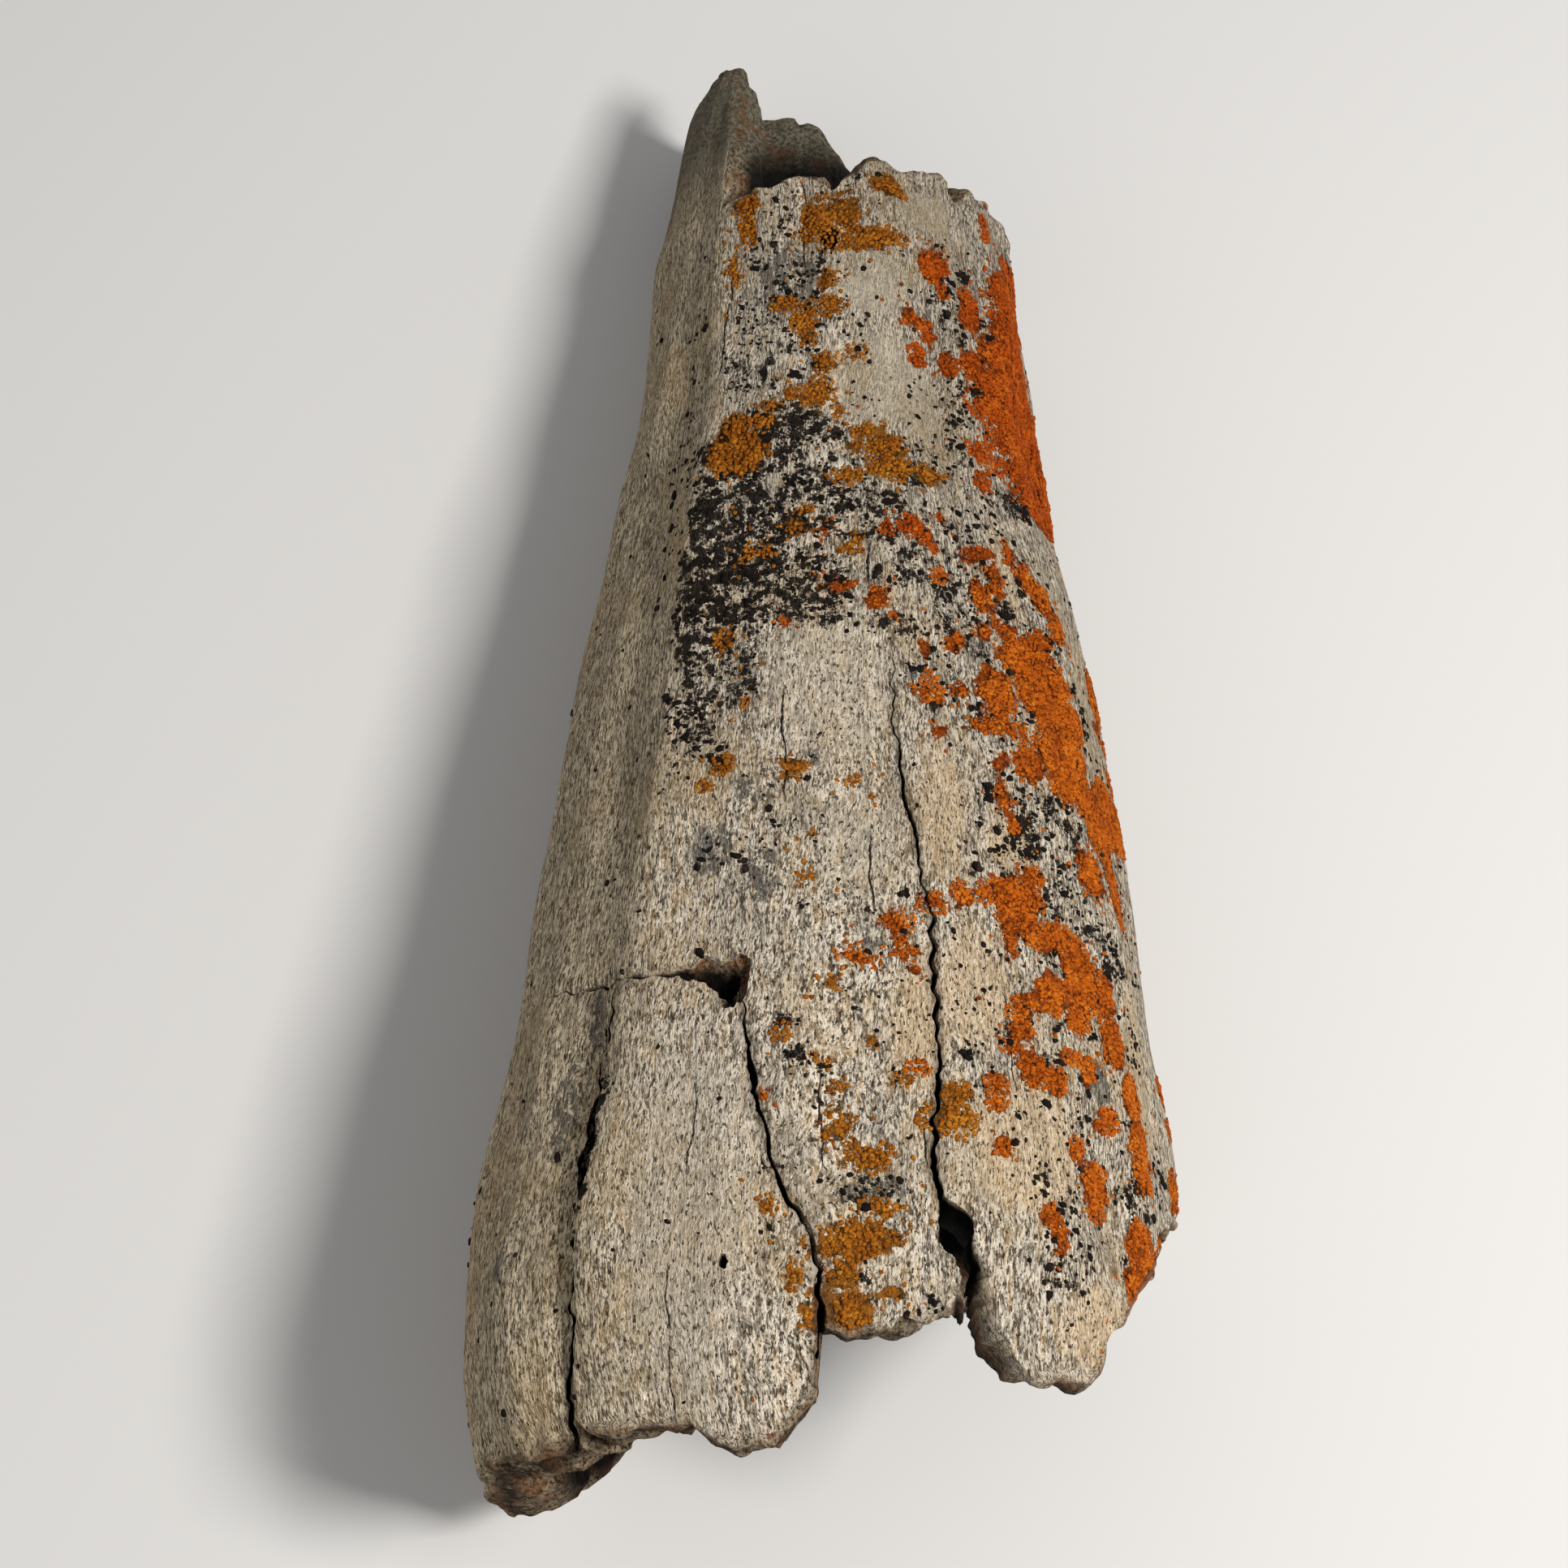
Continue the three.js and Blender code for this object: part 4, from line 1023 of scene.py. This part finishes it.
# Colonies: angle, station, half width in degrees, half length, and the share of the bone that is covered.
BLACK_COLONIES = [
    # the wide thin growth
    (113, 46, 11, 11, 0.75), (110, 33, 12, 12, 0.84), (105, 50, 8, 7, 0.8), (112, 12, 9, 13, 0.66),
    (119, 30, 5, 24, 0.85), (127, -67, 2, 7, 0.95), (126, -59, 1.5, 6, 0.7), (129, -75, 1.3, 4, 0.7),
    (97, 40, 8, 8, 0.72), (85, 37, 9, 7, 0.66), (96, 24, 7, 9, 0.72), (67, 22, 8, 9, 0.62),
    (73, 7, 4, 9, 0.45), (58, 2, 7, 12, 0.4), (109, 70, 8, 13, 0.42), (104, 86, 9, 10, 0.42),
    (60, 58, 5, 12, 0.5), (59, 79, 6, 9, 0.5), (74, 48, 10, 5, 0.5), (45, 43, 9, 4, 0.6),
    (45, 24, 8, 14, 0.4), (118, 0, 5, 12, 0.5), (50, -20, 12, 10, 0.35), (45, -38, 12, 10, 0.3),
    (52, -75, 9, 14, 0.3),
    # the slender end
    (98, 54, 4, 4, 0.9), (93, 54, 3, 3, 0.8), (111.5, 87, 4.5, 3, 0.65), (106, 66.5, 2, 1.6, 0.95),
    (106.5, 63.5, 2, 1.7, 0.9), (115, 66, 3.5, 4.5, 0.55), (101, 69.3, 1.4, 1, 0.95),
    (95, 67.5, 1, 5, 0.85), (96, 79.5, 3, 2, 0.8), (95, 88.5, 2.2, 1.4, 0.8), (104.5, 104, 1, 1, 0.8),
    (94.5, 104, 1.2, 1, 0.8), (86.5, 103.5, 1.8, 2, 0.7), (96, 84.5, 2, 1.2, 0.7), (104, 48.5, 3.5, 2, 0.9),
    (116, 37, 5, 3.6, 0.8), (109, 37, 3, 4, 0.75), (100, 48, 5, 4, 0.7), (95, 40, 8, 6, 0.6),
    (125, 47, 3, 3, 0.7), (61, 56.5, 2.3, 1.8, 0.8), (57, 82.5, 2.2, 2.5, 0.75), (56.5, 74.5, 2.8, 3, 0.85),
    (64, 81, 3, 4, 0.5), (51.5, 86, 2.5, 3.5, 0.75), (41, 43, 6, 2.5, 0.85), (57, 49.8, 1.8, 1.5, 0.8),
    (61, 48, 1.8, 1, 0.8), (50.5, 40.3, 2.5, 1.8, 0.8), (85.8, 44, 1.6, 2.8, 0.85), (74, 43, 3.5, 1.2, 0.8),
    (86, 92.5, 1.5, 0.8, 0.9), (75, 88.5, 2, 0.8, 0.7), (45, 78, 1.3, 1.8, 0.8), (92.5, 93, 1, 1.6, 0.9),
    (100, 62, 18, 30, 0.28), (60, 60, 14, 30, 0.16), (107, 95, 8, 8, 0.3), (62, 40, 14, 9, 0.3),
    (88, 46, 10, 8, 0.35),
    # the middle
    (67, 22, 3, 2, 0.9), (63, 14, 3.5, 4, 0.6), (54.5, 21.5, 3.5, 1.8, 0.8), (65, 1.5, 2.3, 1.8, 0.9),
    (74, 2.8, 2, 1.3, 0.9), (74.5, 0, 1, 0.9, 0.9), (48.5, 26.5, 1.5, 1.7, 0.9),
    (57.5, 29.3, 1.5, 1.5, 0.85), (32, 3, 2.5, 5, 0.9), (36.5, 10, 1.5, 2.5, 0.65),
    (59.5, -7.5, 2.5, 2.2, 0.8), (63.5, -11.5, 2.2, 1.6, 0.9), (57, -12.5, 2.7, 1.6, 0.7),
    (55.5, -18, 4, 4, 0.85), (47, -12, 6, 1.5, 0.65), (44, -16.5, 3.5, 3, 0.75), (30, -17.5, 4, 1.5, 0.7),
    (73, 30, 7, 5, 0.6), (80, 27, 4, 5, 0.65), (79, 15, 6, 1.2, 0.9), (77.5, 8.5, 1.8, 3, 0.5),
    (60, -20, 5, 4, 0.4), (47, -23, 4, 2.5, 0.55), (115, 33, 7, 9, 0.8), (112, 36, 6, 6, 0.9),
    (99, 25, 6, 7, 0.65), (97.5, 20.5, 3, 4, 0.85), (102.5, 24, 2.5, 5, 0.75), (110, 20.5, 7, 3.5, 0.8),
    (107, 10, 5, 8, 0.5), (106.5, 7.3, 2.3, 2, 0.85), (104, 14, 1.3, 1.3, 0.8), (113.5, 9.5, 3, 2, 0.65),
    (114, 0.5, 5, 4, 0.65), (117.3, 3, 1.8, 1.2, 0.85), (113.5, -2, 2.6, 1.2, 0.9), (112, -5, 4, 2.5, 0.6),
    (120.5, 9.5, 1, 1.8, 0.8), (115, -12, 1.8, 1.2, 0.6), (103.5, -12, 4, 2.5, 0.4),
    (94, -17, 1.1, 0.6, 0.8), (100.3, -18, 0.7, 1.5, 0.6), (102.5, -23, 4.5, 3.5, 0.26),
    (111.5, -23, 3.5, 3.5, 0.26), (93.8, -6.5, 2.8, 2.8, 0.45), (93, -2.8, 0.7, 0.6, 0.95),
    (82, 26, 4, 4, 0.5), (80, 25.5, 1.5, 2, 0.8), (81.5, 17, 3.5, 2.3, 0.85), (84, 35, 6, 2.5, 0.6),
    (93, 34.5, 3, 2, 0.5), (70, 28, 14, 12, 0.4), (56, -4, 8, 12, 0.3), (60, -18, 9, 9, 0.25),
    (20, 0, 8, 40, 0.15),
    # the wide end
    (58, -25.5, 8, 1.5, 0.6), (48, -28, 6, 4, 0.55), (42, -28, 3, 4, 0.6), (40, -32, 7, 2.2, 0.7),
    (35, -35.5, 5, 3.5, 0.7), (57, -33.5, 2, 2, 0.8), (55, -37.5, 1.5, 2, 0.6), (64.3, -51, 2.2, 3, 0.65),
    (58.7, -53.5, 1.2, 1, 0.9), (56, -55, 3.2, 1.6, 0.7), (43.5, -46, 1.8, 5, 0.6),
    (39.5, -56, 1.5, 2, 0.5), (37.5, -62, 1.5, 1.8, 0.65), (29, -47, 5, 7, 0.35), (72.3, -55, 2.4, 1, 0.75),
    (70.3, -60.3, 0.9, 0.7, 0.9), (63.8, -64, 0.9, 1.2, 0.8), (61.5, -73, 1.2, 1, 0.9),
    (59.5, -72, 1, 1.5, 0.85), (54, -74, 1.1, 0.9, 0.95), (52.7, -74.5, 0.9, 0.8, 0.95),
    (40.5, -72.5, 0.9, 1.2, 0.9), (43, -69, 0.8, 0.9, 0.9), (61.5, -77, 2, 1.3, 0.5),
    (56.3, -76, 1.2, 1.1, 0.8), (54, -77, 1.2, 1.1, 0.85), (51, -78.7, 0.7, 1.6, 0.75),
    (45.5, -77.5, 2.5, 1, 0.6), (36.5, -72.5, 1.8, 2.5, 0.7), (31, -74.5, 3, 2.5, 0.65),
    (20, -68, 4, 4, 0.45), (56.8, -84.5, 1, 0.8, 0.95), (59.5, -85.8, 1.8, 1, 0.85),
    (58.5, -88.3, 1.4, 1.3, 0.95), (55.5, -86, 1.4, 0.8, 0.85), (54.5, -88.6, 1.4, 1.4, 0.95),
    (51.5, -89, 1.4, 1.6, 0.65), (57, -91.8, 0.6, 0.5, 0.95), (54.5, -91.7, 0.6, 0.5, 0.95),
    (55, -94.5, 0.7, 0.6, 0.85), (46, -85, 0.9, 2, 0.65), (44.8, -92.5, 1.2, 2.2, 0.75),
    (38.8, -82.5, 1, 0.8, 0.85), (79.3, -29.5, 1.6, 1.1, 0.8), (86.2, -33, 1, 0.6, 0.8),
    (78.3, -38.5, 0.7, 1.3, 0.9), (86.5, -38, 1.4, 2.3, 0.55), (94.5, -32, 0.9, 1.2, 0.6),
    (89, -47.5, 0.9, 1.1, 0.8), (98.3, -48, 0.7, 0.8, 0.85), (97, -51, 1.9, 1.3, 0.8),
    (94.5, -56, 1.6, 1.5, 0.85), (91.5, -57, 1.8, 3.2, 0.75), (80.3, -60, 0.9, 1.2, 0.9),
    (78.8, -63, 0.6, 0.8, 0.8), (81.2, -68, 0.6, 0.6, 0.95), (96.5, -72.5, 0.7, 0.6, 0.9),
    (86.5, -76, 5, 2.6, 0.65), (83.3, -70.3, 0.7, 1.6, 0.7), (96.9, -81, 0.9, 0.8, 0.8),
    (94, -85.3, 0.8, 1.2, 0.75), (86.3, -88.3, 1.8, 1.6, 0.6), (77.5, -92.5, 1, 0.9, 0.8),
    (81.5, -96.5, 2.5, 1.5, 0.8), (83, -82.5, 0.6, 0.6, 0.9), (86.3, -82.3, 0.8, 0.6, 0.75),
    (50, -50, 20, 30, 0.12), (80, -50, 10, 12, 0.12),
    # the sides away from the light
    (200, 20, 16, 60, 0.1), (330, 40, 20, 60, 0.15), (255, 0, 20, 90, 0.1), (133, 55, 6, 30, 0.15),
]
BLACK_SPACING = 0.7


def shares_of(angle, y, colonies):
    """The share of the bone that black lichen covers at a place, from the densest colony over it. Lumps make
    the edges of the colonies ragged."""
    g = along_grain(angle, y)
    ragged = 1.3 * lumps(g, (4.2, 4.2, 4.2), 24) + 0.8 * lumps(g, (1.8, 1.8, 1.8), 25)
    covered = np.zeros(np.shape(angle))
    for *patch, share in colonies:
        reach = reach_inside(angle, y, [patch]) + ragged * min(1.0, patch[3] / 2.5)
        covered = np.maximum(covered, share * rising(reach, -1.2, 1.2))
    return covered


write_attribute(bone, "black", 0.05 + 0.95 * shares_of(bone_angle, bone_y, BLACK_COLONIES))
angle, y = spread_places(BLACK_SPACING, 32)
clumps = 0.5 + 0.9 * lumps(along_grain(angle, y), (3.2, 3.2, 3.2), 23)
draw = np.random.RandomState(44)
covered = 0.7 * (0.012 + shares_of(angle, y, BLACK_COLONIES)) * np.clip(clumps, 0.2, 1.5)
held = draw.uniform(0, 1, len(angle)) < covered
held &= reach_inside(angle, y, ORANGE_COLONIES + OCHRE_COLONIES) < 0.4
size = np.clip(draw.lognormal(-0.42, 0.4, held.sum()), 0.3, 1.7)
dots = lobes("black_lichen", angle[held], y[held], size, size * draw.uniform(0.14, 0.3, len(size)), 45)
dots.data.materials.append(crust("black_lichen", paint(15, 11, 9), paint(28, 21, 16), paint(58, 46, 35),
                                 paint(9, 7, 5)))
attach(dots, "root")

# THE STUDIO. A pale floor, a broad key light from the upper right, a weak fill and an even pale sky. The
# camera looks down on the lying horn from its base.

# Half of the floor's width, and how far it lies under the rest plane, in millimetres.
FLOOR_REACH = 3000
FLOOR_DROP = 0.05
corners = [(-1, -1), (1, -1), (1, 1), (-1, 1)]
floor_points = [(FLOOR_REACH * x, FLOOR_REACH * y, -FLOOR_DROP) for x, y in corners]
floor = mesh_object("floor", floor_points, [(0, 1, 2, 3)])
studio = Finish("floor")
studio.shader.inputs["Base Color"].default_value = paint(214, 211, 206)
studio.shader.inputs["Roughness"].default_value = 0.9
floor.data.materials.append(studio.material)

AIMED_AT = Vector((0, 0, 0.03))
# Lamps: name, place, power and size.
LAMPS = [("key", (0.46, -0.2, 0.78), 8.3, 0.2), ("fill", (-0.8, -0.5, 0.7), 1.0, 0.9)]
for name, where, power, size in LAMPS:
    light = bpy.data.lights.new(name, "AREA")
    light.energy = power
    light.size = size
    lamp = bpy.data.objects.new(name, light)
    bpy.context.collection.objects.link(lamp)
    lamp.location = where
    lamp.rotation_euler = (AIMED_AT - Vector(where)).to_track_quat("-Z", "Y").to_euler()
world = bpy.data.worlds.new("sky")
world.use_nodes = True
world.node_tree.nodes["Background"].inputs["Color"].default_value = (0.93, 0.95, 1.0, 1)
world.node_tree.nodes["Background"].inputs["Strength"].default_value = 0.35
bpy.context.scene.world = world
bpy.context.scene.view_settings.view_transform = "Standard"

lens = bpy.data.cameras.new("camera")
lens.sensor_width = 36
lens.lens = 88.3
camera = bpy.data.objects.new("camera", lens)
bpy.context.collection.objects.link(camera)
camera.location = (-0.005, -0.2228, 0.5913)
camera.rotation_euler = (np.radians(22), 0, 0)
bpy.context.scene.camera = camera
